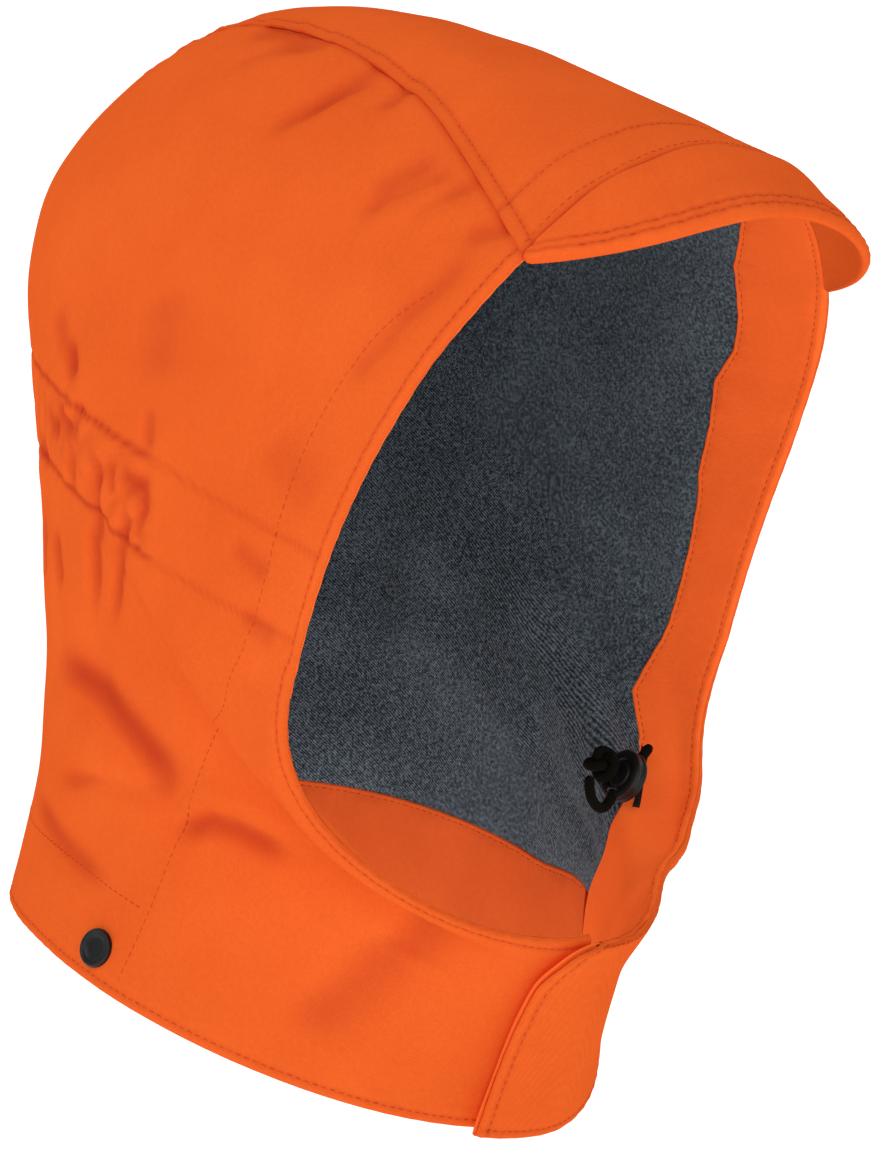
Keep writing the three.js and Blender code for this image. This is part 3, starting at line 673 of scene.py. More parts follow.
def cloth_piece(name, net, chart, material, replaced=(), coarse=4):
    """Closed cloth: a fine net for the face, a coarse one for the hidden back, and a rim of triangles.

    A net may carry a mask of painted shade, from 0 to 1 where folds and stitches sink in; the material paints
    shade there.
    """
    face, back = net["face"], net["back"][::coarse, ::coarse]
    rows, columns = face.shape[:2]
    low_rows, low_columns = back.shape[:2]
    fine = np.arange(rows * columns).reshape(rows, columns)
    rough = fine.size + np.arange(low_rows * low_columns).reshape(low_rows, low_columns)

    def rim(index):
        """The point numbers round the edge of a grid."""
        return np.concatenate([index[0, :-1], index[:-1, -1], index[-1, :0:-1], index[:0:-1, 0]])

    edge, hem = rim(fine), rim(rough)
    steps = np.arange(len(edge))
    near = hem[(steps + coarse // 2) // coarse % len(hem)]
    fans = np.stack([edge, np.roll(edge, -1), near], -1)
    between = (np.arange(len(hem)) * coarse + (coarse + 1) // 2) % len(edge)
    bridges = np.stack([edge[between], np.roll(hem, -1), hem], -1)
    faces = [quads_of(fine), quads_of(rough)[:, ::-1], fans, bridges]
    if facing_out(net) < 0:
        faces = [part[:, ::-1] for part in faces]
    points = np.concatenate([face.reshape(-1, 3), back.reshape(-1, 3)])
    chart = np.concatenate([chart.reshape(-1, 2), chart[::coarse, ::coarse].reshape(-1, 2)]) / 1000
    piece = new_piece(name, points, faces, chart, material)
    if "hollow" in net:
        shades = np.zeros(len(points), np.float32)
        shades[:fine.size] = np.clip(net["hollow"], 0, 1).ravel()
        piece.data.attributes.new("hollow", "FLOAT", "POINT").data.foreach_set("value", shades)
    if replaced:
        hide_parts(*replaced)
    return piece


def stitches(name, net, rows, material, pitch=2.8):
    """Thread stitches along rows of (u, v) places on a net, each a low three-sided lozenge.

    A row stops where its next place is more than 6 mm away and goes on from there.
    """
    length, half_width, sunk = 0.8 * pitch, 0.27, -0.12
    starts, heads, ups = [], [], []
    for u, v in rows:
        i, j = (np.clip(np.floor(w).astype(int), 0, size - 2) for w, size in zip((u, v), net["up"].shape))
        p, q = (u - i)[:, None], (v - j)[:, None]
        line, up = (
            (1 - p) * (1 - q) * field[i, j] + p * (1 - q) * field[i + 1, j]
            + (1 - p) * q * field[i, j + 1] + p * q * field[i + 1, j + 1]
            for field in (net["face"], net["up"])
        )
        walked = walked_along(line)
        places = np.arange(pitch, walked[-1] - pitch, pitch)
        places = places[np.diff(walked)[np.searchsorted(walked, places) - 1] < 6]
        for found, field, far in ((starts, line, 0), (heads, line, length), (ups, up, 0)):
            found.append(np.stack([np.interp(places + far, walked, field[:, k]) for k in range(3)], -1))
    start, head, up = np.concatenate(starts), np.concatenate(heads), unit(np.concatenate(ups))
    ahead = head - start
    side = unit(np.cross(up, ahead)) * half_width
    shares, widths, heights = [0, 0.18, 0.5, 0.82, 1], [0.3, 0.9, 1, 0.9, 0.3], [-0.1, 0.16, 0.24, 0.16, -0.1]
    rings = [
        np.stack([start + share * ahead + way * wide * side + (sunk if way else high) * up
                  for way in (-1, 0, 1)], 1)
        for share, wide, high in zip(shares, widths, heights)
    ]
    points = np.stack(rings, 1)
    count = len(points)
    quads = quads_of(np.pad(np.arange(15).reshape(5, 3), ((0, 0), (0, 1)), mode="wrap"))
    caps = np.array([[0, 1, 2], [14, 13, 12]])
    if volume_of(points[0].reshape(-1, 3), quads) < 0:
        quads, caps = quads[:, ::-1], caps[:, ::-1]
    shift = np.arange(count)[:, None, None] * 15
    quads, caps = (quads[None] + shift).reshape(-1, 4), (caps[None] + shift).reshape(-1, 3)
    walk = np.tile(np.repeat(np.array(shares) * 2.2, 3), count)
    chart = np.stack([walk, np.tile([-0.3, 0, 0.3], count * 5)], -1) / 1000
    return new_piece(name, points.reshape(-1, 3), [quads, caps], chart, material)


def level_line(field, level, columns=slice(None), across_rows=True):
    """Where each column of a net (or each row) first crosses a level, between the two nearest points."""
    field = (field - level) if across_rows else (field - level).T
    above = (field > 0) if (field[0] < 0).mean() > 0.5 else (field < 0)
    i = above.argmax(0)
    k = np.arange(field.shape[1])
    share = field[i - 1, k] / (field[i - 1, k] - field[i, k])
    keep = np.zeros(len(k), bool)
    keep[columns] = True
    keep &= i > 0
    found, line = (i - 1 + share)[keep], k[keep].astype(float)
    return (found, line) if across_rows else (line, found)


def cloth_material(name, deep, bright, pitch, slope, twill=0.16, glow=0.06):
    """Dyed twill: a fine diagonal rib, uneven yarn, soft stains of tone, a dry surface and a slight sheen.

    Fluorescent dye gives back more orange light than falls on it, so the cloth glows in its own colour.
    The glow is partly painted light too: it is set far higher on the facings, which lie in shade inside.
    Where folds and stitches sink in, painted shade mixes the colour towards a darker, redder shade.
    """
    made, node, links, shader = material_nodes(name)
    along, across = chart_axes(node)
    rib = stripes(node, along, across, slope, pitch)
    yarn = stripes(node, along, across, slope + math.pi / 2, pitch * 0.8)
    slub = noise(node, 700.0, 3.0, 0.6)
    weave = maths(node, "ADD", maths(node, "MULTIPLY", rib, 0.65), maths(node, "MULTIPLY", yarn, 0.35))
    tone = swayed(node, swayed(node, 0.5, weave, twill), slub, 0.5)
    tone = swayed(node, tone, noise(node, 22.0, 3.0, 0.55), 0.7)
    # Painted shade: where the cloth sinks in, its colour is mixed towards a darker, redder shade.
    hollow = node("Attribute", {"attribute_name": "hollow"}).outputs["Fac"]
    shade = (deep[0] * 0.72, deep[1] * 0.42, deep[2])
    colour = mixed(node, hollow, mixed(node, tone, deep, bright), shade)
    links.new(colour, shader.inputs["Base Color"])
    # Glow: partly the dye's fluorescence and partly painted light that brightens the cloth beyond its
    # lighting.
    links.new(colour, shader.inputs["Emission Color"])
    shader.inputs["Emission Strength"].default_value = glow
    links.new(maths(node, "MULTIPLY_ADD", slub, 0.2, 0.72), shader.inputs["Roughness"])
    shader.inputs["Sheen Weight"].default_value = 0.015
    shader.inputs["Sheen Roughness"].default_value = 0.5
    shader.inputs["Sheen Tint"].default_value = (1, 0.4, 0.15, 1)
    shader.inputs["Specular IOR Level"].default_value = 0.0
    height = maths(node, "ADD", weave, maths(node, "MULTIPLY", slub, 0.8))
    bump = node("Bump", Strength=0.5, Distance=0.00012, Height=height)
    fuzz = noise(node, 190.0, 2.0)
    soft = node("Bump", Strength=0.35, Distance=0.0004, Height=fuzz, Normal=bump.outputs[0])
    links.new(soft.outputs[0], shader.inputs["Normal"])
    return made


def on_path(net, path):
    """Where a path of (place, turn in degrees) runs on a net: columns and rows found by turns, six times."""
    places, angles = natural_spline(np.linspace(0, 1, len(path)), np.array(path))(np.linspace(0, 1, 240)).T
    angles = np.radians(angles)
    at, turn = net["at"], net["turn"]
    columns, lines = np.arange(at.shape[1]), np.arange(at.shape[0])
    u = np.full(len(places), at.shape[0] // 2)
    for _ in range(6):
        v = np.array([np.interp(angle, turn[int(round(i))], columns) for i, angle in zip(u, angles)])
        u = np.array([np.interp(place, at[:, int(round(j))], lines) for j, place in zip(v, places)])
    return u, v


SHELL_CLOTH = cloth_material("orange_twill", (0.66, 0.083, 0.013), (0.865, 0.139, 0.024), 0.65,
                             math.radians(62))
THREAD = cloth_material("orange_thread", (0.42, 0.045, 0.012), (0.72, 0.1, 0.02), 0.3, 0.6, twill=0.5)
SIDES = {"right": 1, "left": -1}


def front_turn(at, left):
    """The front edge of a side: centre front, and beyond it by the lap on the left."""
    return -turn_at_width(at, lap_width(at), True) if left else 0 * at


def seam_turn(at):
    """The back edge of a side: the seam with the centre panel, and a little under it."""
    return turn_at_width(at, centre_half(at) * SIDE_TO_SIDE / 2 - SEAM_UNDERLAP, False)


for side, sign in SIDES.items():
    left = side == "left"
    at, turn = cloth_grid(321, 181, lambda at, left=left: front_turn(at, left), seam_turn)
    base, up = outer_face(at, sign * turn), outward(at, sign * turn)
    walks = four_walks(base)
    from_hem, from_edge, from_front, from_seam = walks
    shift = LEFT_SHIFT if left else np.zeros(2)
    y, z = base[..., 1] - shift[0], base[..., 2] - shift[1]
    broad = broad_relief(base, np.full(at.shape, left))
    broad += lap_lift(turn) + edge_wave(turn, from_edge) if left else 0
    # Creases of the shell, with painted shade where they sink, and calmer beside the hem and the face edge.
    folds = 1.2 * sum(crease(y, z, *row) for row in CREASES)
    hollow = np.maximum(-folds, 0) / 2.6
    calm = smooth(np.minimum(from_edge, from_hem) / 9)
    folds = folds * (0.25 + 0.75 * calm) + 0.5 * softness(y, z + 40 * left)
    relief = broad + folds - rolled(from_edge) - rolled(from_hem) - 0.85 * smooth(1.5 - from_seam / 1.6)
    relief -= rolled(from_front) if left else rolled(from_front, 1.0)
    # Turned edges, each with its row of stitches and a line of painted shade along it.
    for far in [from_hem, from_edge] + ([from_front] if left else []):
        along = from_hem if far is from_front else from_front
        relief += groove(far - EDGE_ROW) + pucker(far - EDGE_ROW, along)
        hollow = hollow + 0.25 * hump(far - EDGE_ROW, 0.8)
    # The elastic channel: two rows of stitches with painted shade along them, and behind Y = -37 mm the
    # pleats that the elastic gathers.
    channel = [base[..., 2] - (height + slope * base[..., 1]) for height, slope in CHANNEL_LINES]
    behind = smooth((base[..., 1] + 37) / 12) * smooth((np.pi * 0.98 - turn) * 8)
    gathered = ripple(from_front, 0.62, 2.2, 0.09) * hump((channel[0] + channel[1]) / 2, 17)
    for far in channel:
        hollow = hollow + 0.45 * behind * hump(far, 1.5) + 0.3 * hump(far, 1) * smooth(from_edge / 4)
        relief += (1 - behind) * groove(far, 1.0, 0.25) * smooth(from_edge / 4)
        relief += behind * (groove(far, 1.6, 0.6) + 0.18 * np.sin(1.1 * from_front) * hump(far, 4))
    relief += 0.7 * behind * gathered + 0.22 * hump(from_seam - 5, 4) * ripple(from_hem, 0.7, 1.7, 0.13)
    # Painted shade in the valleys of the pleats and beside the seam.
    hollow = hollow + 0.22 * behind * np.maximum(-gathered, 0) + 0.3 * hump(from_seam - 2, 1.4)
    # No fold sinks past the lining, and the hidden back stays under the deepest point nearby.
    inner = smooth(np.minimum.reduce(walks) / 9)
    relief = np.maximum(relief, broad - PLY_GAP - 4 * (1 - inner))
    deepest = np.minimum(relief - broad, 0) * inner
    for axis in (0, 1):
        deepest = np.min([np.roll(deepest, step, axis) for step in range(-4, 5)], axis=0)
    depth = np.clip(FOLD_SKIN - deepest, SHELL, PLY_GAP + FOLD_SKIN)
    depth = np.maximum(depth, rolled(np.minimum(from_edge, from_hem)) + 0.2)
    net = {"at": at, "turn": turn, "up": up, "hollow": hollow,
           "face": raised(base, up, relief), "back": raised(base, up, broad - depth)}
    chart = np.stack([net["face"][..., 1] * sign, net["face"][..., 2]], -1)
    cloth_piece("side_panel_cloth_" + side, net, chart, SHELL_CLOTH, ["side_panel_" + side])
    rows = [level_line(from_edge, EDGE_ROW), level_line(from_hem, EDGE_ROW)]
    if left:
        rows.append(level_line(from_front, EDGE_ROW, across_rows=False))
    behind_foot = np.argmax(turn[0] > math.radians(FACING_STITCH[-1][1]))
    rows.append(level_line(from_hem, neck_facing_top(sign * turn), columns=slice(behind_foot, -1)))
    rows += [level_line(far[:-8], 0, columns=slice(8, -1)) for far in channel]
    rows.append(on_path(net, FACING_STITCH))
    stitches("side_panel_stitches_" + side, net, rows, THREAD)


# Centre panel: one strip of the same twill from the forehead over the crown to the nape. Its seams to the
# side panels are folded towards it and stitched down; a second row behind the peak holds the turned edge.
FRONT_FULLNESS, SEAM_GAP, SEAM_ROW, PEAK_SEAM_ROW = 2.6, 0.15, 4.5, 18.5


def centre_right(at):
    """The panel's right edge, close beside the seam."""
    return turn_at_width(at, centre_half(at) * SIDE_TO_SIDE / 2 - SEAM_GAP, False)


at, turn = cloth_grid(321, 97, centre_right, lambda at: 2 * np.pi - centre_right(at))
base, up = outer_face(at, turn), outward(at, turn)
from_hem, from_edge, seam_right, seam_left = four_walks(base)
from_seam = np.minimum(seam_right, seam_left)
broad = middle_relief(base) + middle_edge_wave(base, turn, from_edge)
relief = broad + 0.5 * softness(base[..., 0] * 1.3, from_hem) - rolled(from_edge) - rolled(from_hem)
relief += 0.45 * smooth(1 - from_seam / 7) - 0.6 * rolled(from_seam, 1.0)
for far in (from_edge - EDGE_ROW, from_hem - EDGE_ROW, from_edge - PEAK_SEAM_ROW):
    relief += groove(far) + pucker(far, seam_right)
relief += groove(from_seam - SEAM_ROW, 1.0, 0.35) + pucker(from_seam - SEAM_ROW, from_hem, 9.0, 6.0, 0.25)
relief += 0.35 * smooth((from_hem - 150) / 60) * ripple(from_hem, 0.33, 1.6, 0.05) * hump(from_seam, 13)
relief += FRONT_FULLNESS * smooth((at - 0.72) / 0.16) * smooth(seam_right / 26) * smooth(seam_left / 45)
# Painted shade along the rows of stitches, the seams and the face edge.
hollow = 0.3 * hump(from_edge - PEAK_SEAM_ROW, 0.9) + 0.3 * hump(from_seam - SEAM_ROW, 0.9)
hollow = hollow + 0.5 * hump(from_edge, 1.5) + 0.25 * hump(from_seam, 1.2)
depth = np.maximum(SHELL, rolled(np.minimum(from_edge, from_hem)) + 0.2)
net = {"up": up, "hollow": hollow, "face": raised(base, up, relief), "back": raised(base, up, broad - depth)}
chart = np.stack([base[..., 0], from_hem], -1)
cloth_piece("centre_panel_cloth", net, chart, SHELL_CLOTH, ["centre_panel"])
rows = [level_line(from_edge, EDGE_ROW), level_line(from_edge, PEAK_SEAM_ROW), level_line(from_hem, EDGE_ROW)]
rows.append(level_line(seam_right, SEAM_ROW, across_rows=False))
stitches("centre_panel_stitches", net, rows, THREAD)
left_row = level_line(seam_left, SEAM_ROW, across_rows=False)
stitches("centre_panel_stitches_left", net, [left_row], THREAD)


# Peak: a short stiffened visor of two twill plies, sewn to the front edge of the centre panel.
# Two rows of stitches run along its turned outer edge, and the seam gathers the cloth a little.
PEAK_DEPTH, PEAK_FULLNESS, PEAK_END, PEAK_ROWS, PEAK_ROLL = 27.0, 3.6, 1.2, (2.6, 5.4), 1.6
across, share = crowded(181, 150.0, 150.0)[0], crowded(45, 28.0, 28.0)[0][:, None]
edge_turn = centre_right(1.0) + (2 * np.pi - 2 * centre_right(1.0)) * across
reach = PEAK_END + PEAK_DEPTH * (1 - np.abs(2 * across - 1) ** PEAK_FULLNESS)
root, up_root = outer_face(1.0, edge_turn), outward(1.0, edge_turn)
root = raised(root, up_root, middle_edge_wave(root, edge_turn, 0.0))
share = share + 0 * across
from_root, to_tip = CLEARANCE + share * reach, reach - share * reach
slant = np.radians(24 + 13 * share)


def peak_ply(depth):
    """A ply of the peak: it leaves the cloth's edge forwards and bends further down the further it goes."""
    start = (root - up_root * depth)[None]
    ahead = np.stack([0 * slant, -np.cos(slant), -np.sin(slant)], -1)
    return start + ahead * from_root[..., None]


top, under = peak_ply(0.0), peak_ply(WALL)
along, to_far = walked_along(top, 1), walked_along(top, 1, backwards=True)
peak_up = unit(top - peak_ply(1.0))
edge_far = np.minimum(to_tip, 0.8 * np.minimum(along, to_far))
fullness = FRONT_FULLNESS * smooth(along / 26) * smooth(to_far / 75) * (1 - smooth((from_root - 1) / 13))
relief = 0.35 * ripple(along, 0.19, 2, 0.031) * np.exp(-from_root / 12) + 0.3 * softness(along, from_root)
relief += fullness - rolled(edge_far, PEAK_ROLL)
# Painted shade along the rows of stitches.
hollow = 0
for level in PEAK_ROWS:
    relief += groove(to_tip - level, 0.9, 0.26) + pucker(to_tip - level, along, 6.5, 3.5, 0.12)
    hollow = hollow + 0.35 * hump(to_tip - level, 0.8)
under_relief = 0.2 * softness(along, from_root + 50) - rolled(edge_far, PEAK_ROLL)
net = {"up": peak_up, "hollow": hollow, "face": raised(top, peak_up, relief),
       "back": raised(under, -peak_up, under_relief)}
chart = np.stack([along, from_root], -1)
cloth_piece("peak_cloth", net, chart, SHELL_CLOTH, ["peak"], coarse=2)
rows = [level_line(to_tip, level, columns=slice(12, -12)) for level in PEAK_ROWS]
stitches("peak_stitches", net, rows, THREAD)


# Face facings: bands of the shell cloth turned inside the face opening and stitched down beside the lining.
# They widen at the chin, where the free lower ends run down to the hem.
FACING_FOOT = {"right": math.radians(84), "left": math.radians(57)}
# Painted light: the face facings' twill glows more than five times as strongly as the shell's, to brighten
# them in the shade inside the hood.
FACING_CLOTH = cloth_material("facing_twill_painted_light", (0.665, 0.086, 0.016), (0.88, 0.15, 0.027), 0.65,
                              math.radians(118), glow=0.32)
FACING_WIDTH, INNER_ROW, INNER_FOLD = 30.0, 2.0, 1.0
# The foot's columns, and those of the narrow step where the inner edge leaves the hem and climbs.
FOOT_COLUMNS, STEP_COLUMNS, FOOT_STEP = 120, 16, math.radians(0.5)


def inner_net(base, up, broad, relief):
    """A ply on the inside of the wall, its visible face turned inwards and its back towards the shell."""
    hidden = np.minimum(WALL - 0.8, WALL + relief - 0.2)
    face, back = raised(base, up, broad - WALL - relief), raised(base, up, broad - hidden)
    return {"up": -up, "face": face, "back": back}


# Width of the left facing round the face (degrees from centre front, millimetres): it wanders as it is worn.
LEFT_WIDTHS = np.array([
    [50, 26], [57, 25], [63.5, 24.4], [68, 28], [72, 31.2], [79, 28.3], [86, 25.5], [93, 24.5], [98, 25],
    [103, 27.5], [106, 30.8], [112, 31.9], [118, 35], [123, 31], [127.5, 31.6], [136.5, 36], [150, 31],
    [180, 30],
])


def facing_width(turn):
    """Width of the facing at a true turn (left: beyond half a turn or negative)."""
    left = np.mod(-np.degrees(turn), 360)
    return np.where(left <= 180, np.interp(left, *LEFT_WIDTHS.T), FACING_WIDTH)


def foot_bend(at):
    """The inner edge of the left facing's foot bends forwards below the cord lock."""
    return math.radians(6.5) * smooth(at / 0.34) * smooth((0.6 - at) / 0.2)


def facing_edge(turn):
    """The place of the facing's inner edge."""
    return place_from(1, turn, facing_width(turn))


for side, sign in SIDES.items():
    left = side == "left"
    foot = FACING_FOOT[side]
    nominal = np.r_[np.linspace(0, foot, FOOT_COLUMNS, endpoint=False),
                    np.linspace(foot, foot + FOOT_STEP, STEP_COLUMNS),
                    np.linspace(foot + FOOT_STEP, np.pi, 320)[1:]]
    low = facing_edge(sign * nominal) * smooth((nominal - foot) / FOOT_STEP)
    at = low + (1 - low) * crowded(41, 30.0, 30.0)[0][:, None]
    turn = nominal + (front_turn(at, True) * np.maximum(0, 1 - nominal / foot) if left else 0 * at)
    turn = turn - foot_bend(at) * np.minimum(nominal / foot, 1) if left else turn
    base, up = outer_face(at, sign * turn), outward(at, sign * turn)
    from_inner, from_edge = walked_along(base, 0), walked_along(base, 0, backwards=True)
    along = walked_along(base, 1)[-1] + 0 * at
    broad = broad_relief(base, np.full(at.shape, left))
    broad += lap_lift(turn) + edge_wave(turn, from_edge) if left else 0
    loose = smooth(from_edge / 10) * smooth(from_inner / 6)
    sink = 0.35 * ripple(along, 2 * np.pi / 26, 2.1, 1 / 37) * loose
    sink -= 0.55 * softness(base[..., 1], base[..., 2])
    sink -= rolled(from_edge) + 0.5 * rolled(from_inner, INNER_FOLD)
    sink += groove(from_edge - EDGE_ROW) + pucker(from_edge - EDGE_ROW, along)
    sink += groove(from_inner - INNER_ROW, 0.9, 0.25) + pucker(from_inner - INNER_ROW, along, 8.0, 4.0, 0.16)
    net = inner_net(base, up, broad, sink)
    chart = np.stack([along, from_edge], -1)
    cloth_piece("face_facing_cloth_" + side, net, chart, FACING_CLOTH,
                ["face_facing_" + side], coarse=1)
    rows = [level_line(from_edge, EDGE_ROW),
            level_line(from_inner, INNER_ROW, columns=slice(FOOT_COLUMNS + STEP_COLUMNS, None))]
    stitches("face_facing_stitches_" + side, net, rows, THREAD)


# Neck facing: a band of the shell cloth along the inside of the hem, from one chin end round to the other.
# Its upper edge is turned and stitched through to the shell beside the lining.
NECK_INSET = math.radians(0.9)
at, turn = cloth_grid(41, 481, lambda at: FACING_FOOT["right"] + NECK_INSET + 0 * at,
                      lambda at: 2 * np.pi - FACING_FOOT["left"] - NECK_INSET + 0 * at,
                      high=lambda turn: place_from(0, turn, neck_facing_top(turn)))
base, up = outer_face(at, turn), outward(at, turn)
from_hem, from_top, along, _ = four_walks(base)
sink = 0.4 * ripple(along, 2 * np.pi / 31, 2, 1 / 41) * smooth(from_hem / 9) * smooth(from_top / 6)
sink -= 0.5 * softness(base[..., 1], base[..., 2]) + rolled(from_hem) + 0.6 * rolled(from_top, INNER_FOLD)
for far in (from_hem - EDGE_ROW, from_top - INNER_ROW):
    sink += groove(far) + pucker(far, along)
# Painted shade: the neck facing's twill is darker than the shell's. Its glow is partly painted light, weaker
# than the face facings' and stronger than the shell's.
NECK_CLOTH = cloth_material("neck_twill_painted_shade", (0.60, 0.080, 0.018), (0.80, 0.138, 0.030), 0.65, math.radians(118),
                            glow=0.1)
net = inner_net(base, up, middle_relief(base), sink)
chart = np.stack([along, from_hem], -1)
cloth_piece("neck_facing_cloth", net, chart, NECK_CLOTH, ["neck_facing"])
rows = [level_line(from_hem, EDGE_ROW), level_line(from_top, INNER_ROW)]
stitches("neck_facing_stitches", net, rows, THREAD)


# Lining: a soft heathered twill of dark and light grey yarn. It hangs a little loose between the facings,
# with low soft folds, and its edges run under them.
def heathered_twill():
    """Grey twill: steep light ribs broken into short dashes by the uneven yarn, over a dark ground."""
    made, node, links, shader = material_nodes("heathered_lining")
    along, across = chart_axes(node)
    rib = stripes(node, along, across, math.radians(38), 1.0)
    dash, fleck, broad = noise(node, 900.0, 2.0, 0.7), noise(node, 1500.0, 2.0, 0.7), noise(node, 30.0, 2.0)
    lit = maths(node, "MULTIPLY", rib, 0.62)
    for pattern, amount in ((dash, 2.6), (fleck, 1.1), (broad, 0.4)):
        lit = swayed(node, lit, pattern, amount)
    lit = node("Clamp", Value=lit).outputs[0]
    links.new(mixed(node, lit, (0.012, 0.021, 0.029), (0.18, 0.26, 0.31)), shader.inputs["Base Color"])
    links.new(maths(node, "MULTIPLY_ADD", dash, 0.2, 0.75), shader.inputs["Roughness"])
    shader.inputs["Sheen Weight"].default_value = 0.1
    shader.inputs["Specular IOR Level"].default_value = 0.2
    bump = node("Bump", Strength=0.6, Distance=0.00018, Height=rib)
    links.new(bump.outputs[0], shader.inputs["Normal"])
    return made


LINING_CLOTH = heathered_twill()
LINING_INSET, LINING_RADIUS = math.radians(0.8), 95
at, turn = cloth_grid(201, 241, lambda at: FACING_FOOT["right"] + LINING_INSET + 0 * at,
                      lambda at: 2 * np.pi - FACING_FOOT["left"] - LINING_INSET + foot_bend(0.15 + 0.63 * at),
                      low=lambda turn: place_from(0, turn, neck_facing_top(turn) + CLEARANCE),
                      high=lambda turn: place_from(1, turn, facing_width(turn) + CLEARANCE))
base, up = outer_face(at, turn), outward(at, turn)
walks = four_walks(base)
down, from_top, over, _ = walks
rim = np.minimum.reduce(walks)
broad = middle_relief(base) + middle_edge_wave(base, turn, from_top + FACING_WIDTH)
folds = 0.9 * np.sin(over / 19 + 1.9 * np.sin(down / 43))
folds += 0.7 * np.sin(down / 17 + 1.5 * np.sin(over / 57) + 0.6)
folds += 0.5 * np.sin((over + down) / 11 + 2.2 * np.sin(down / 31))
sink = smooth(rim / 14) * (0.45 * folds - 0.5 * softness(base[..., 1], base[..., 2]))
sink -= 0.5 * (1 - smooth(rim / 3))
round_about = LINING_RADIUS * np.arctan2(base[..., 0], -(base[..., 1] + 30))
chart = np.stack([round_about, down + neck_facing_top(turn)], -1)
cloth_piece("lining_cloth", inner_net(base, up, broad, sink), chart, LINING_CLOTH, ["lining"])


# Flap tape: black hook-and-loop tape between the chin flap and the right front, sewn down at its edges.
# Only its lower end shows, in the slit beside the flap.
TAPE_FROM_FRONT, TAPE_WIDTH, TAPE_FOOT, TAPE_SPAN, TAPE_THICK = 3.0, 12.0, 0.03, 0.3, 1.2


def loop_tape():
    """Black loop pile: dense small bumps on a matt ground."""
    made, node, links, shader = material_nodes("loop_tape")
    place = node("TexCoord").outputs["Object"]
    loops = node("TexVoronoi", {"feature": "SMOOTH_F1"}, Vector=place, Scale=1400.0)
    colour = mixed(node, loops.outputs[0], (0.02, 0.02, 0.018), (0.006, 0.006, 0.005))
    links.new(colour, shader.inputs["Base Color"])
    shader.inputs["Roughness"].default_value = 0.9
    bump = node("Bump", {"invert": True}, Strength=0.8, Distance=0.0004, Height=loops.outputs[0])
    links.new(bump.outputs[0], shader.inputs["Normal"])
    return made


at = (TAPE_FOOT + TAPE_SPAN * crowded(121, 40.0, 40.0)[0])[:, None]
across = crowded(41, 12.0, 12.0)[0]
turn = turn_at_width(at + 0 * across, TAPE_FROM_FRONT + TAPE_WIDTH * across, True)
base, up = outer_face(at, turn), outward(at, turn)
walks = four_walks(base)
rim = np.minimum.reduce(walks)
loft = TAPE_THICK + CLEARANCE - 0.5 * rolled(rim, 0.8) - 0.15 * (1 - smooth(rim / 2))
net = {"up": up, "face": raised(base, up, loft), "back": raised(base, up, CLEARANCE)}
chart = np.stack([walks[2], walks[0]], -1)
cloth_piece("flap_tape_strip", net, chart, loop_tape(), ["flap_tape"], coarse=2)


# Press snaps: a black cap outside with a dished face and a rolled rim, its post through the wall, and a
# ring-shaped socket inside. They fix the hood to the collar of its jacket.
SNAP_PLACES = {
    "right": ([-99.180, -4.090, -302.418], [-0.9453, -0.145, 0.292]),
    "left": ([99.990, -3.237, -332.025], [0.97685, -0.03731, 0.21063]),
}
SOCKET_DEPTH = 7.7
CAP_PROFILE = np.array([
    [0.0, 1.15], [3.0, 1.2], [4.3, 1.6], [5.0, 2.45], [5.7, 2.5], [6.2, 1.8], [6.2, 0.9], [5.7, 0.35],
    [2.4, 0.3], [2.2, 0.1], [2.2, -2.0], [2.2, 0.3 - SOCKET_DEPTH + 3.2], [5.2, 0.1 - SOCKET_DEPTH + 3.2],
    [5.6, 2.6 - SOCKET_DEPTH], [5.6, 0.7 - SOCKET_DEPTH], [5.1, -SOCKET_DEPTH], [3.3, -SOCKET_DEPTH],
    [2.9, 0.4 - SOCKET_DEPTH], [2.7, 2.0 - SOCKET_DEPTH], [0.0, 2.1 - SOCKET_DEPTH],
])
SNAP_PLASTIC = moulded_plastic("snap_plastic", 0.004, 0.36)
for side, (centre, axis) in SNAP_PLACES.items():
    snap = turned("snap_body_" + side, softened(CAP_PROFILE, 0.45), np.array(centre), axis, 80, SNAP_PLASTIC)
    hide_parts("snap_" + side)


# Cord tab: a strip of flat black webbing, sewn to the facing seam, that runs under the cord lock.
TAB_START, TAB_END = (0.63, math.radians(60)), (0.49, math.radians(49))
TAB_SPREAD = (0.032, math.radians(0.9))
TAB_RAISED, TAB_THICK = 0.9, 0.8


def webbing():
    """Woven black tape: fine ribs across and along."""
    made, node, links, shader = material_nodes("black_webbing")
    along, across = chart_axes(node)
    ribs, end_ribs = stripes(node, along, across, math.pi / 2, 0.8), stripes(node, along, across, 0, 0.7)
    weave = maths(node, "MAXIMUM", ribs, end_ribs)
    links.new(mixed(node, weave, (0.003, 0.003, 0.003), (0.011, 0.011, 0.01)), shader.inputs["Base Color"])
    shader.inputs["Specular IOR Level"].default_value = 0.2
    shader.inputs["Roughness"].default_value = 0.8
    bump = node("Bump", Strength=0.7, Distance=0.0003, Height=weave)
    links.new(bump.outputs[0], shader.inputs["Normal"])
    return made


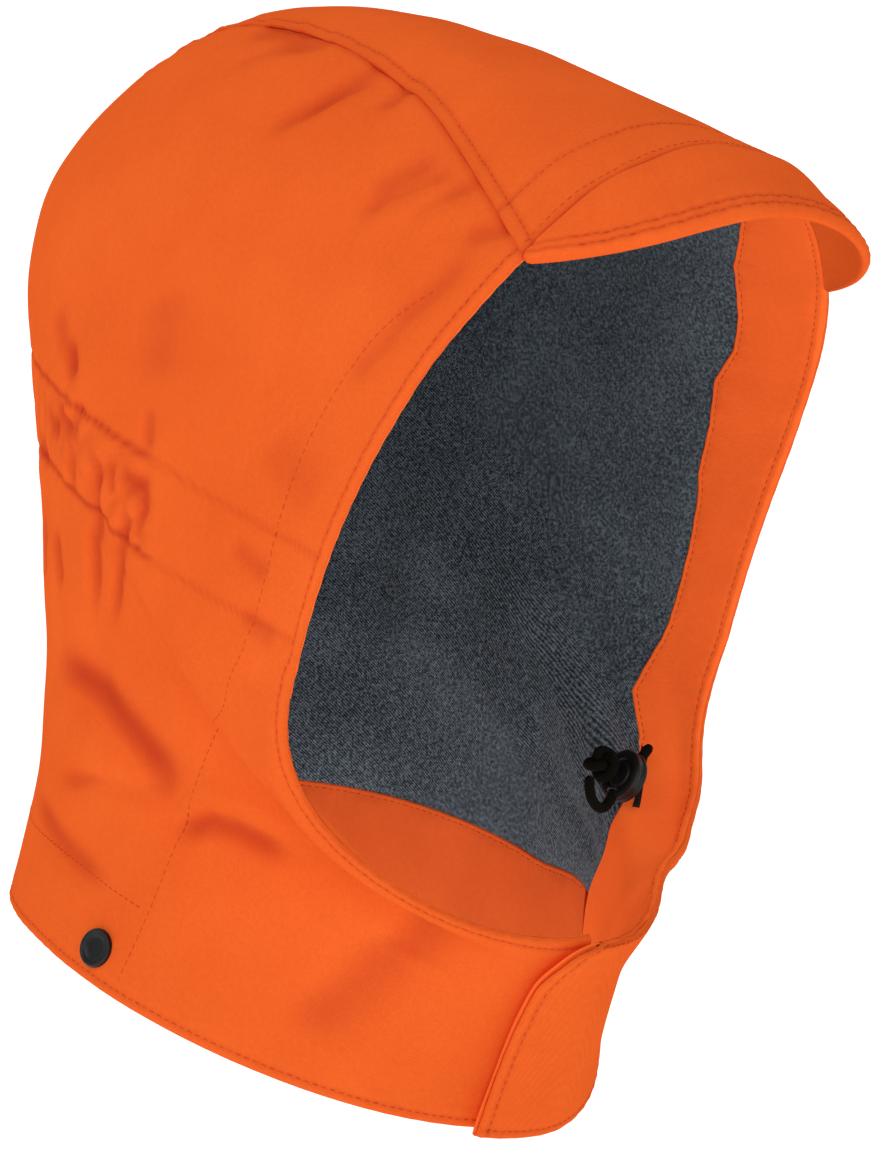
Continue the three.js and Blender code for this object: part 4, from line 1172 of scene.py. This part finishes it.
run, wide = crowded(81, 40.0, 40.0)[0][:, None], crowded(41, 10.0, 10.0)[0]
at, turn = (start + (end - start) * run + 0 * wide for start, end in zip(TAB_START, TAB_END))
at, turn = at + TAB_SPREAD[0] * (wide - 0.5), TAB_SPREAD[1] * (wide - 0.5) - turn
base, up = outer_face(at, turn), outward(at, turn)
broad = broad_relief(base, np.full(at.shape, True))
walks = four_walks(base)
top = WALL + TAB_RAISED + TAB_THICK + 0.25 * np.sin(walks[0] / 4)
top -= 0.4 * rolled(np.minimum.reduce(walks), 0.8)
net = {"up": -up, "face": raised(base, up, broad - top), "back": raised(base, up, broad - WALL - TAB_RAISED)}
chart = np.stack([walks[2], walks[0]], -1)
cloth_piece("cord_tab_webbing", net, chart, webbing(), ["cord_tab_left"], coarse=2)


# Ground and light: a wide pale sweep far below and behind, a large soft key light from the upper left,
# a broad weaker one from just above the camera and an even white surround, as in the photograph.
GROUND_HALF_WIDTH, GROUND_GLOW, SURROUND = 7000.0, 0.48, 0.54
LIGHT_TARGET = Vector((0, -0.02, -0.18))


def pale_ground():
    """Pale matt ground: soft noise between two near whites, with a glow that keeps it even."""
    made, node, links, shader = material_nodes("pale_ground")
    colour = mixed(node, noise(node, 3.0, 2.0), (0.88, 0.88, 0.88), (0.93, 0.93, 0.93))
    links.new(colour, shader.inputs["Base Color"])
    shader.inputs["Roughness"].default_value = 1.0
    shader.inputs["Emission Color"].default_value = (1, 1, 1, 1)
    shader.inputs["Emission Strength"].default_value = GROUND_GLOW
    return made


sweep = np.array([[-6000, -760], [2600, -760], [3400, -560], [3700, 0], [3750, 5200]])
depth_way = np.array([math.sin(-bearing), math.cos(bearing)])
side_way = np.array([depth_way[1], -depth_way[0]])
widths = np.array([-GROUND_HALF_WIDTH, GROUND_HALF_WIDTH])[:, None]
plan = sweep[:, None, :1] * depth_way + widths * side_way
ground = np.concatenate([plan, sweep[:, None, 1:] + 0 * widths], -1)
ground_mesh = bpy.data.meshes.new("ground")
ground_faces = quads_of(np.arange(ground.size // 3).reshape(-1, 2).T)
ground_mesh.from_pydata((ground.reshape(-1, 3) / 1000).tolist(), [], ground_faces.tolist())
ground_mesh.materials.append(pale_ground())
ground_object = bpy.data.objects.new("ground", ground_mesh)
bpy.context.scene.collection.objects.link(ground_object)

world = bpy.data.worlds.new("surround")
world.use_nodes = True
world.node_tree.nodes["Background"].inputs["Color"].default_value = (1, 1, 1, 1)
world.node_tree.nodes["Background"].inputs["Strength"].default_value = SURROUND
bpy.context.scene.world = world
bpy.context.scene.view_settings.view_transform = "Standard"


def soft_light(name, offset, size, power):
    """A square area light that stands off the hood's middle and faces it."""
    data = bpy.data.lights.new(name, "AREA")
    data.size, data.energy = size, power
    light = bpy.data.objects.new(name, data)
    light.location = LIGHT_TARGET + offset
    light.rotation_euler = offset.to_track_quat("Z", "Y").to_euler()
    bpy.context.scene.collection.objects.link(light)


soft_light("key", -0.9 * right + 1.3 * upward + 1.5 * away, 1.2, 11)
soft_light("front", 0.25 * right + 0.5 * upward + 2.1 * away, 1.5, 8)
